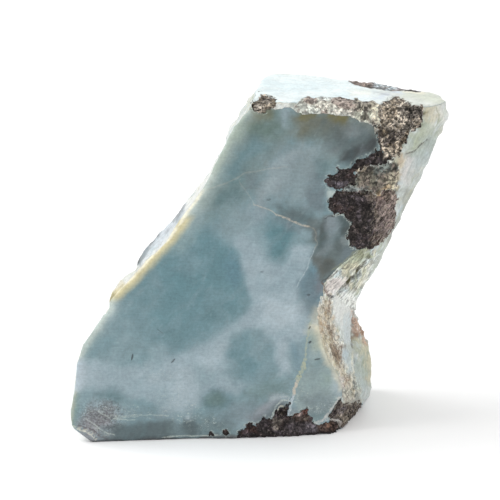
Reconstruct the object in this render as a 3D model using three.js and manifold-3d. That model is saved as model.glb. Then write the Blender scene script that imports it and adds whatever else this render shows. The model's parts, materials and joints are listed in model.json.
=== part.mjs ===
// Rough larimar slice, in millimetres, +Z up.
// x runs to the right from the lower left end, y runs back from the front sawn face.
// One natural stone: two sawn faces, a sawn base and a sawn top, with broken sides between them.
import * as THREE from 'three';
import { ImprovedNoise } from 'three/addons/math/ImprovedNoise.js';
import { mergeVertices } from 'three/addons/utils/BufferGeometryUtils.js';
import Module from 'manifold-3d';

const wasm = await Module();
wasm.setup();

const slabThickness = 20.5;      // front sawn face to back sawn face
const topHeight = 58.7;          // top sawn face above the base, at topMark
const topMark = 35;
const topFall = 0.053;           // the top drops this much for each millimetre to the right
const overrun = 3;               // the rough block runs this far past each saw cut
const pointsAround = 176;        // mesh points round the stone
const rowsPerBand = [2, 2, 3, 3, 3];
const flakeSize = 6.4;           // spacing of the scooped flake scars on the broken sides
const flakeDepth = 1.1;
const lumpSize = 3.6;            // spacing of the smaller lumps over them
const lumpHeight = 0.26;
const calmEdge = 0.35;           // share of the roughness kept at the front edge
const facetTilt = 5.5;           // degrees the small lower facet leans back from the front face

// Each line runs from the front face to the back, as [x, y, z] at six stops.
// The lines go round the stone: base, right side, top, left side.
const back = slabThickness;
const lines = [
  [[9, 0, -3], [9, 3, -3], [9, 7, -3], [9, 11, -3], [9, 15, -3], [9.5, back, -3]],
  [[22, 0, -3], [22, 3, -3], [22, 7, -3], [22, 11, -3], [22, 15, -3], [22, back, -3]],
  [[34, 0, -3], [34, 3, -3], [35, 7, -3], [35, 11, -3], [35, 15, -3], [35, back, -3]],
  [[40.5, 0, -3], [43.5, 3, -3], [46, 7, -3], [48, 11, -3], [49.5, 15, -3], [49, back, -3]],
  [[40.8, 0, 0.4], [46, 3, 0.2], [48.8, 7, 0], [50.8, 11, 0], [52.4, 15, 0], [52, back, 0]],
  [[43.8, 0, 3.4], [47.2, 3, 3], [49.8, 7, 3], [51.8, 11, 3], [53.4, 15, 3], [53, back, 3]],
  [[46.2, 0, 7.2], [47.9, 3, 7.4], [49.6, 7, 7.6], [51.6, 11, 7.4], [53.2, 15, 7.4], [52.8, back, 7.4]],
  [[44.8, 0, 11.4], [47.2, 3, 11.8], [48.6, 7, 12.2], [50.8, 11, 12], [52.6, 15, 12], [52.2, back, 12]],
  [[43.4, 0, 15.4], [46.2, 3, 15.6], [48, 7, 16], [48.8, 11, 16.2], [50.2, 15, 16], [50, back, 16]],
  [[41.2, 0, 19.4], [45.2, 3, 19.6], [48.8, 7, 19.6], [48.8, 10.5, 20], [48.6, 15, 19.8], [48.4, back, 19.8]],
  [[41.8, 0, 23.2], [46.4, 3, 23.4], [50.6, 7.4, 23.2], [50.8, 10.5, 23.8], [49.6, 15, 23.8], [47.6, back, 23.8]],
  [[43.2, 0, 27.2], [47.8, 3, 27.2], [52.4, 7.2, 27.2], [52.4, 10, 27.8], [50.4, 15, 27.8], [46.6, back, 27.8]],
  [[46, 0, 31], [50.6, 3, 31.2], [54.2, 7, 31.4], [53.8, 10, 31.8], [51, 15, 31.8], [45.8, back, 31.8]],
  [[50.2, 0, 34.4], [53.2, 3, 35.2], [55.9, 6.8, 35.6], [55.4, 9.8, 36], [51.6, 15, 36], [45.2, back, 36]],
  [[50.4, 0, 39], [54.6, 3, 39.6], [57.8, 6.6, 40], [57.2, 9.6, 40.2], [52.2, 14.6, 40.2], [44.6, back, 40.2]],
  [[50.8, 0, 43.4], [56.2, 2.8, 44], [59.7, 6.3, 44.4], [58.8, 9.4, 44.6], [52.4, 14.6, 44.6], [43.8, back, 44.6]],
  [[51.6, 0, 47.6], [58, 2.5, 48.2], [61.4, 6, 48.6], [60, 9.4, 48.8], [52.4, 14.8, 48.8], [43, back, 48.8]],
  [[52, 0, 51.4], [59.4, 2.1, 52.2], [62.9, 5.6, 52.6], [61, 9.4, 52.6], [52, 15, 52.6], [42.2, back, 52.6]],
  [[51.8, 0, 55], [60, 1.7, 55.6], [63.3, 5, 55.8], [60.8, 9.6, 56], [51.4, 15.4, 56], [41.6, back, 56]],
  [[51, 0, 58], [59.4, 1.7, 58.4], [62, 5.4, 58.2], [59.4, 10, 58.4], [50.6, 15.8, 58.6], [41.2, back, 58.6]],
  [[49.5, 0, 62], [56, 2, 62], [58, 6, 62], [56, 10, 62], [49, 15.8, 62], [40.6, back, 62]],
  [[42, 0, 62], [43, 3, 62], [43.6, 7, 62], [43.4, 11, 62], [42, 15.8, 62], [38.6, back, 62]],
  [[35, 0, 62], [35, 3, 62], [35.2, 7, 62], [35.6, 11, 62], [36.4, 15.8, 62], [37.6, back, 62]],
  [[31.8, 0, 60], [31.8, 3, 60.2], [32.5, 7, 60.2], [33.3, 11, 60.2], [34.6, 15.8, 60.2], [36.6, back, 60.2]],
  [[29.7, 0, 57], [30.4, 3, 57], [31.4, 7, 57], [31.9, 11, 57], [33.2, 15.8, 57], [35, back, 56.6]],
  [[27.2, 0, 54.2], [28.1, 3, 54.2], [29, 7, 54.2], [30, 11, 54.2], [31.1, 15.8, 54.2], [32.6, back, 54]],
  [[25.4, 0, 50.6], [26.3, 3, 50.6], [27.1, 7, 50.6], [28, 11, 50.6], [29, 15.8, 50.6], [30.2, back, 50.6]],
  [[23.3, 0, 45.8], [23.5, 3, 45.8], [24.2, 7, 45.8], [25.4, 11, 45.8], [26.6, 15.8, 45.8], [27.8, back, 45.8]],
  [[20.9, 0, 42], [20.7, 3, 42.1], [21.6, 7, 42], [22.8, 11, 42], [24, 15.8, 42], [25.4, back, 42]],
  [[18.6, 0, 38.7], [18.6, 3, 38.7], [19.3, 7, 38.7], [20.2, 11, 38.7], [21.5, 15.8, 38.7], [22.9, back, 38.7]],
  [[16.5, 0, 35.3], [15.8, 3, 35.6], [15.6, 7, 35.6], [17.6, 11, 35.4], [19.4, 15.8, 35.3], [20.8, back, 35.3]],
  [[13.2, 0, 32], [12.9, 3, 32.3], [13, 7, 32.2], [14.8, 11, 32], [16.4, 15.8, 32], [17.6, back, 32]],
  [[9.8, 0, 28.4], [9.8, 3, 28.6], [10.4, 7, 28.6], [11.7, 11, 28.4], [13, 15.8, 28.4], [14.2, back, 28.4]],
  [[7.2, 0, 25.4], [7.1, 3, 25.6], [7.8, 7, 25.6], [9.2, 11, 25.4], [10.2, 15.8, 25.4], [11.4, back, 25.4]],
  [[4.9, 0, 21.6], [5.7, 3, 21.6], [6.7, 7, 21.6], [7.4, 11, 21.6], [8.2, 15.8, 21.6], [9, back, 21.6]],
  [[2.1, 0, 17.7], [2.9, 3, 17.7], [3.8, 7, 17.7], [4.6, 11, 17.7], [5.2, 15.8, 17.7], [6.2, back, 17.7]],
  [[1, 0, 14.2], [1.3, 3, 14.2], [1.7, 7, 14.2], [2.3, 11, 14.2], [3.1, 15.8, 14.2], [4, back, 14.2]],
  [[0.5, 0, 9.6], [0.6, 3, 9.6], [0.9, 7, 9.6], [1.4, 11, 9.6], [2, 15.8, 9.6], [2.8, back, 9.6]],
  [[-0.3, 0, 5.2], [0, 3, 5.2], [0.4, 7, 5.2], [0.8, 11, 5.2], [1.4, 15.8, 5.2], [2.2, back, 5.2]],
  [[-0.1, 0, 2.8], [0.2, 3, 2.9], [0.8, 7, 2.8], [1.2, 11, 2.8], [1.8, 15.8, 2.8], [2.6, back, 2.8]],
  [[3.3, 0, -0.2], [3.5, 3, -0.2], [4, 7, -0.4], [4.6, 11, -0.4], [5.2, 15.8, -0.4], [6, back, -0.6]],
];

const noise = new ImprovedNoise();

// Two sizes of lump, from -1 to 1.
function lumps(x, y, z, size) {
  const large = noise.noise(x / size, y / size, z / size);
  const small = noise.noise(x / size * 2.3 + 40, y / size * 2.3, z / size * 2.3);
  return large + 0.45 * small;
}

// Squared distance to the nearest of a set of scattered centres: round hollows with sharp rims between them.
function flakeScars(x, y, z, size) {
  const at = [x / size, y / size * 0.8, z / size];
  const cell = at.map(Math.floor);
  let nearest = 9;
  for (let n = 0; n < 27; n += 1) {
    const c = [cell[0] + (n % 3) - 1, cell[1] + (Math.floor(n / 3) % 3) - 1, cell[2] + Math.floor(n / 9) - 1];
    const scatter = [17.3, 41.7, 63.1].map((k) => 0.5 + 0.75 * noise.noise(c[0] * 0.73 + k, c[1] * 0.81, c[2] * 0.67));
    const gap = c.map((v, axis) => v + scatter[axis] - at[axis]);
    nearest = Math.min(nearest, gap[0] ** 2 + gap[1] ** 2 + gap[2] ** 2);
  }
  return nearest;
}

// Closed curve through one stop of every line.
function ringThrough(stop) {
  const curve = new THREE.CatmullRomCurve3(
    lines.map((line) => new THREE.Vector3(...line[stop])),
    true,
    'centripetal',
  );
  return curve.getPoints(pointsAround).slice(0, pointsAround);
}

// Rings of points: a short overrun, the bands between the stops, and another overrun.
function stoneRings() {
  const keys = lines[0].map((_, stop) => ringThrough(stop));
  const shift = (ring, y) => ring.map((p) => new THREE.Vector3(p.x, y, p.z));
  const rings = [shift(keys[0], -overrun)];
  keys.slice(0, -1).forEach((ring, band) => {
    for (let step = 0; step < rowsPerBand[band]; step += 1) {
      const t = step / rowsPerBand[band];
      rings.push(ring.map((p, i) => p.clone().lerp(keys[band + 1][i], t)));
    }
  });
  rings.push(keys.at(-1));
  rings.push(shift(keys.at(-1), back + overrun));
  return rings;
}

// Closed mesh from the rings with a fan over each end.
function loftGeometry(rings) {
  const around = rings[0].length;
  const points = rings.flat();
  const index = [];
  for (let r = 0; r < rings.length - 1; r += 1) {
    for (let i = 0; i < around; i += 1) {
      const j = (i + 1) % around;
      const a = r * around + i;
      const b = r * around + j;
      const c = (r + 1) * around + j;
      const d = (r + 1) * around + i;
      index.push(a, c, b, a, d, c);
    }
  }
  const shapeOf = (ring) => ring.map((p) => new THREE.Vector2(p.x, p.z));
  THREE.ShapeUtils.triangulateShape(shapeOf(rings[0]), []).forEach(([a, b, c]) => {
    index.push(a, b, c);
  });
  const last = (rings.length - 1) * around;
  THREE.ShapeUtils.triangulateShape(shapeOf(rings.at(-1)), []).forEach(([a, b, c]) => {
    index.push(last + a, last + c, last + b);
  });
  const geometry = new THREE.BufferGeometry();
  geometry.setAttribute('position', new THREE.Float32BufferAttribute(points.flatMap((p) => [p.x, p.y, p.z]), 3));
  geometry.setIndex(index);
  return geometry;
}

// Pushes the broken sides in and out along their own normals.
function roughen(geometry, size, height, scars = 0) {
  geometry.computeVertexNormals();
  const position = geometry.getAttribute('position');
  const normal = geometry.getAttribute('normal');
  for (let i = 0; i < position.count; i += 1) {
    const x = position.getX(i);
    const y = position.getY(i);
    const z = position.getZ(i);
    const swell = Math.min(1, Math.max(calmEdge, calmEdge + y / 6));
    const push = swell * (height * lumps(x, y, z, size) + scars * (flakeScars(x, y, z, flakeSize) - 0.22));
    position.setXYZ(i, x + normal.getX(i) * push, y + normal.getY(i) * push, z + normal.getZ(i) * push);
  }
  return geometry;
}

function solidFrom(geometry) {
  geometry.deleteAttribute('normal');
  geometry.deleteAttribute('uv');
  const merged = mergeVertices(geometry, 1e-4);
  return new wasm.Manifold(new wasm.Mesh({
    numProp: 3,
    vertProperties: new Float32Array(merged.getAttribute('position').array),
    triVerts: new Uint32Array(merged.index.array),
  }));
}

// Takes away everything beyond the flat face at `at` that looks along `out`.
// `along` turns the block on that face, and `size` is its length, width and height.
function sawCut(solid, at, out, along = [1, 0, 0], size = [200, 200, 60], rough = null) {
  const [length, width, height] = size;
  const steps = rough ? [Math.round(length / rough.step), Math.round(width / rough.step)] : [1, 1];
  const box = new THREE.BoxGeometry(length, width, height, ...steps, 1);
  box.translate(0, 0, height / 2);
  const zAxis = new THREE.Vector3(...out).normalize();
  const yAxis = zAxis.clone().cross(new THREE.Vector3(...along)).normalize();
  const xAxis = yAxis.clone().cross(zAxis);
  box.applyMatrix4(new THREE.Matrix4().makeBasis(xAxis, yAxis, zAxis).setPosition(...at));
  if (rough) {
    const position = box.getAttribute('position');
    for (let i = 0; i < position.count; i += 1) {
      const p = new THREE.Vector3().fromBufferAttribute(position, i);
      p.addScaledVector(zAxis, rough.height * lumps(p.x, p.y, p.z, rough.size));
      position.setXYZ(i, p.x, p.y, p.z);
    }
  }
  return solid.subtract(solidFrom(box));
}

// A dented hollow, shaped like a rough egg.
function hollow(solid, at, radii, turn, size, height) {
  const egg = new THREE.IcosahedronGeometry(1, 7);
  egg.deleteAttribute('uv');
  egg.deleteAttribute('normal');
  const closed = mergeVertices(egg, 1e-4);
  closed.scale(...radii);
  closed.rotateY(THREE.MathUtils.degToRad(turn));
  closed.translate(...at);
  return solid.subtract(solidFrom(roughen(closed, size, height)));
}

const rough = roughen(loftGeometry(stoneRings()), lumpSize, lumpHeight, flakeDepth);
let stone = solidFrom(rough);

// The four saw cuts.
stone = sawCut(stone, [0, 0, 0], [0, 0, -1]);
stone = sawCut(stone, [0, 0, 0], [0, -1, 0]);
stone = sawCut(stone, [0, slabThickness, 0], [0, 1, 0]);
stone = sawCut(stone, [topMark, 0, topHeight], [topFall, 0, 1]);

// Small facet right of the vein, from the base up to its point, leaning back to the right.
const veinFoot = new THREE.Vector3(36, 0, 0);
const veinTop = new THREE.Vector3(40.3, 0, 19.6);
const veinRun = veinTop.clone().sub(veinFoot);
const lean = THREE.MathUtils.degToRad(facetTilt);
const facetOut = new THREE.Vector3(0, -1, 0).applyAxisAngle(veinRun.clone().normalize(), lean);
stone = sawCut(
  stone,
  veinFoot.clone().lerp(veinTop, 0.3).toArray(),
  facetOut.toArray(),
  veinRun.toArray(),
  [veinRun.length() * 1.4, 30, 4],
);

// Crumbled edge between the front face and the top, deeper towards the right.
const crumble = { step: 0.95, size: 2, height: 0.5 };
stone = sawCut(stone, [38.5, 0.65, 57.75], [0, -1, 0.95], [1, 0, -0.04], [18.5, 5, 5], crumble);
stone = sawCut(stone, [52.2, 0.75, 56.6], [0.14, -0.96, 0.24], [0.88, 0, -0.47], [11, 7, 5], crumble);
stone = hollow(stone, [54.8, 1.2, 58.9], [3.3, 4.2, 1.9], 4, 1.8, 0.4);

// Pocket beside the dark stone, and the hole at the foot of the vein.
stone = hollow(stone, [51.9, -0.5, 45.4], [4.7, 1.9, 2.4], 10, 1.8, 0.6);
stone = hollow(stone, [37.5, 0, 4.3], [1.2, 0.9, 1.7], 0, 1.6, 0.2);

// The stone's mesh, stood with the middle of its base box on the origin.
function geometryFrom(solid) {
  const mesh = solid.getMesh();
  const geometry = new THREE.BufferGeometry();
  geometry.setAttribute('position', new THREE.BufferAttribute(new Float32Array(mesh.vertProperties), 3));
  geometry.setIndex(new THREE.BufferAttribute(new Uint32Array(mesh.triVerts), 1));
  geometry.computeBoundingBox();
  const { min, max } = geometry.boundingBox;
  geometry.translate(-(min.x + max.x) / 2, -(min.y + max.y) / 2, -min.z);
  geometry.computeVertexNormals();
  return geometry;
}

const larimar = new THREE.Mesh(
  geometryFrom(stone),
  new THREE.MeshStandardMaterial({ color: 0x86a1a6, roughness: 0.45, metalness: 0, flatShading: true }),
);
larimar.name = 'larimar_slice';

const group = new THREE.Group();
group.add(larimar);

export default group;
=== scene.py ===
import json
import math

import bpy
import numpy as np
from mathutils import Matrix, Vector, noise

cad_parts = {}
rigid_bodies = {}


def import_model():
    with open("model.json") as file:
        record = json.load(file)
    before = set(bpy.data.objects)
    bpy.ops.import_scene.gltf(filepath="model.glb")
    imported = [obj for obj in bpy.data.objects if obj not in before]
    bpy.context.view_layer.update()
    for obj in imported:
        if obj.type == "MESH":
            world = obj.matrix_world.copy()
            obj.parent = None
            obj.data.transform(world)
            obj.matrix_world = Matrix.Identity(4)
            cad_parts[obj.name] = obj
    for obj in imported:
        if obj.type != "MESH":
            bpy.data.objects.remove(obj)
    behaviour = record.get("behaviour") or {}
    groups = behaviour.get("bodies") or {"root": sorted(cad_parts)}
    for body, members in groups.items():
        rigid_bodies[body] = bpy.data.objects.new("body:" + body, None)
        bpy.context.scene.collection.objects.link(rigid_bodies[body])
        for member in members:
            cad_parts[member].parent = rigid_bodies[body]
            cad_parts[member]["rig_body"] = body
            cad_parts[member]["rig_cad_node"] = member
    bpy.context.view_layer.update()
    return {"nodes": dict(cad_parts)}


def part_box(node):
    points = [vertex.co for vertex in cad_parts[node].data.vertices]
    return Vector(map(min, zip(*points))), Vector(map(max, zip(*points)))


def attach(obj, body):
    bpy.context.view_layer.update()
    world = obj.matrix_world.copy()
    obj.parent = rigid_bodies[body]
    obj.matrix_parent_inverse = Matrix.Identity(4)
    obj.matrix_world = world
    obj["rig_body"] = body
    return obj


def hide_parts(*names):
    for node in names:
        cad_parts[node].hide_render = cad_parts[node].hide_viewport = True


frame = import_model()
lowCorner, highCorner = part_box("larimar_slice")
print("frame loaded")

# Places in the slab are in millimetres: x right from the left end, y back from the
# front sawn face, z up.
slab = {
    "leftEnd": -0.36,  # x of the box's left side
    "thickness": 20.5,
    "topHeight": 58.7,  # height of the top face where x is topMark
    "topMark": 35.0,
    "topFall": 0.053,
    "parting": 32.0,  # x at the base of the line between the left side and the flank
    "partingLean": 0.1,
    "voxel": 0.385,
    "sawnBand": 0.14,  # how near a saw cut counts as on it
}

# The stone's layers spread and dip as they run back from the front face, so a mark drawn
# as x, z on the front face also fixes where its layer comes out on the broken flank.
layers = {"fan": 0.0026, "lean": 0.008, "dip": 0.403, "flatten": 0.0026}

# Distances to an outline or a line are measured only this near to it. Beyond, they are "far".
measured = {"outline": 4.0, "line": 5.0, "far": 9.0}


def slabPlaces(co):
    places = co * 1000
    places[:, 0] = (co[:, 0] - lowCorner.x) * 1000 + slab["leftEnd"]
    places[:, 1] = (co[:, 1] - lowCorner.y) * 1000
    return places


def layerPlaces(places):
    x, y, z = places.T
    across = x - y * (layers["lean"] + layers["fan"] * x)
    up = z + y * (layers["dip"] - layers["flatten"] * z)
    return np.stack([across, up], 1)


def topAt(x):
    return slab["topHeight"] - slab["topFall"] * (x - slab["topMark"])


def onLeft(places):
    return places[:, 0] < slab["parting"] - slab["partingLean"] * places[:, 2]


def edgeAt(edge, heights):  # x of an edge at each height
    points = np.array(edge)
    return np.interp(heights, points[:, 1], points[:, 0])


def closeTo(spots, points, margin):
    return np.all((spots > points.min(0) - margin) & (spots < points.max(0) + margin), axis=1)


def lineDistances(spots, line, closed=False):  # signed by side of the line, and plain
    points = np.array(line, float)
    close = closeTo(spots, points, measured["line"])
    local = spots[close]
    nearest = np.full(len(local), measured["far"])
    signed = nearest.copy()
    for a, b in zip(points, np.roll(points, -1, 0) if closed else points[1:]):
        run = b - a
        t = np.clip(((local - a) @ run) / (run @ run), 0, 1)
        gap = local - a - t[:, None] * run
        size = np.hypot(gap[:, 0], gap[:, 1])
        side = np.where(run[0] * gap[:, 1] - run[1] * gap[:, 0] < 0, -1, 1)
        signed = np.where(size < nearest, size * side, signed)
        nearest = np.minimum(nearest, size)
    found = np.full((2, len(spots)), measured["far"])
    found[:, close] = signed, nearest
    return found


def insideDistance(spots, outline):  # positive inside the outline, negative outside
    points = np.array(outline, float)
    near = closeTo(spots, points, measured["outline"])
    local = spots[near]
    nearest = lineDistances(local, points, closed=True)[1]
    inside = np.zeros(len(local), bool)
    for (ax, az), (bx, bz) in zip(points, np.roll(points, -1, 0)):
        if az != bz:
            crosses = (az > local[:, 1]) != (bz > local[:, 1])
            inside ^= crosses & (local[:, 0] < (bx - ax) * (local[:, 1] - az) / (bz - az) + ax)
    found = np.full(len(spots), -measured["far"])
    found[near] = np.where(inside, nearest, -nearest)
    return found


def insideAny(spots, outlines):
    return np.maximum.reduce([insideDistance(spots, outline) for outline in outlines])


def fade(value, low, high):
    t = np.clip((value - low) / (high - low), 0, 1)
    return t * t * (3 - 2 * t)


def clouds(places, size, octaves=3, shift=0.0):
    return np.array([noise.fractal(Vector(p), 1.0, 2.0, octaves) for p in places / size + shift])


def grains(places, size, shift=0.0):  # 1 in the middle of a grain, 0 in the joints
    return np.array([1 - min(1, noise.voronoi(Vector(p))[0][0] * 1.35) for p in places / size + shift])


def fibres(places, along, length, width, octaves=3, shift=0.0):
    along = np.array(along, float) / np.linalg.norm(along)
    run = places @ along
    drawn = (places - run[:, None] * along) / width + run[:, None] * along / length
    return clouds(drawn, 1.0, octaves, shift)


def drifted(spots, places, drift, size, shift):  # makes outlines ragged
    moved = spots.copy()
    moved[:, 0] += drift * clouds(places, size, 3, shift)
    moved[:, 1] += drift * clouds(places, size, 3, shift + 31.7)
    return moved


def driftedPlaces(places, drift, size):
    return places + drift * np.stack([clouds(places, size, 2, shift) for shift in (3.3, 14.1, 27.9)], 1)


# Each colour is as it looks in the studio light, 0 to 255.
colours = {
    "larimar": (118, 143, 149),
    "deep": (86, 124, 132),
    "tealGrey": (108, 129, 128),
    "deepBlue": (92, 126, 140),
    "tealDark": (74, 108, 113),
    "pale": (149, 166, 174),
    "paleGrey": (134, 145, 147),
    "bright": (176, 189, 195),
    "slate": (98, 112, 118),
    "purpleGrey": (112, 114, 120),
    "smoky": (74, 86, 87),
    "smokyDark": (46, 54, 54),
    "olive": (104, 98, 50),
    "oliveWash": (104, 108, 92),
    "greenDark": (84, 108, 98),
    "greenPale": (132, 150, 132),
    "greyGreen": (136, 152, 150),
    "lilacDark": (92, 84, 88),
    "lilacPale": (134, 132, 136),
    "dullTeal": (84, 102, 104),
    "dullTealDark": (62, 78, 80),
    "ochre": (206, 196, 154),
    "creamWhite": (238, 234, 214),
    "rimPale": (200, 210, 202),
    "rimLilac": (202, 212, 220),
    "topWhite": (222, 232, 232),
    "topBlue": (210, 225, 228),
    "topCream": (208, 208, 196),
    "rind": (212, 219, 216),
    "rindWhite": (230, 232, 228),
    "rindBlue": (190, 205, 210),
    "rindGreen": (182, 190, 168),
    "rindOlive": (140, 142, 112),
    "cream": (216, 208, 182),
    "tan": (200, 182, 156),
    "orange": (186, 156, 118),
    "brown": (112, 86, 68),
    "pink": (204, 162, 136),
    "pocketGrey": (86, 82, 72),
    "pinkWhite": (216, 208, 204),
    "oliveDark": (72, 68, 40),
    "oliveGrey": (122, 122, 108),
    "shadow": (70, 66, 62),
    "black": (34, 29, 29),
    "rockDark": (41, 37, 36),
    "rockBrown": (76, 70, 66),
    "rockRust": (80, 64, 58),
    "rockRed": (78, 50, 44),
    "rockGrey": (122, 116, 108),
    "rockMauve": (138, 124, 120),
    "rockTan": (172, 162, 148),
    "rockOlive": (112, 100, 82),
    "lens": (92, 104, 104),
    "lensDark": (62, 72, 72),
    "lensEye": (124, 136, 141),
    "lensBrown": (84, 86, 80),
    "cornerGrey": (106, 107, 110),
    "rockLilacPale": (120, 114, 122),
    "crumbWhite": (216, 213, 200),
    "clumpBrown": (138, 124, 116),
    "clumpGrey": (128, 122, 110),
    "rindShade": (180, 188, 182),
    "rockLilac": (96, 88, 94),
    "veinCream": (206, 193, 174),
    "veinGreen": (172, 176, 150),
    "pit": (58, 66, 68),
}


def linear(name):
    values = [value / 255 for value in colours[name]]
    return tuple(v / 12.92 if v <= 0.04045 else ((v + 0.055) / 1.055) ** 2.4 for v in values) + (1.0,)


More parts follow.
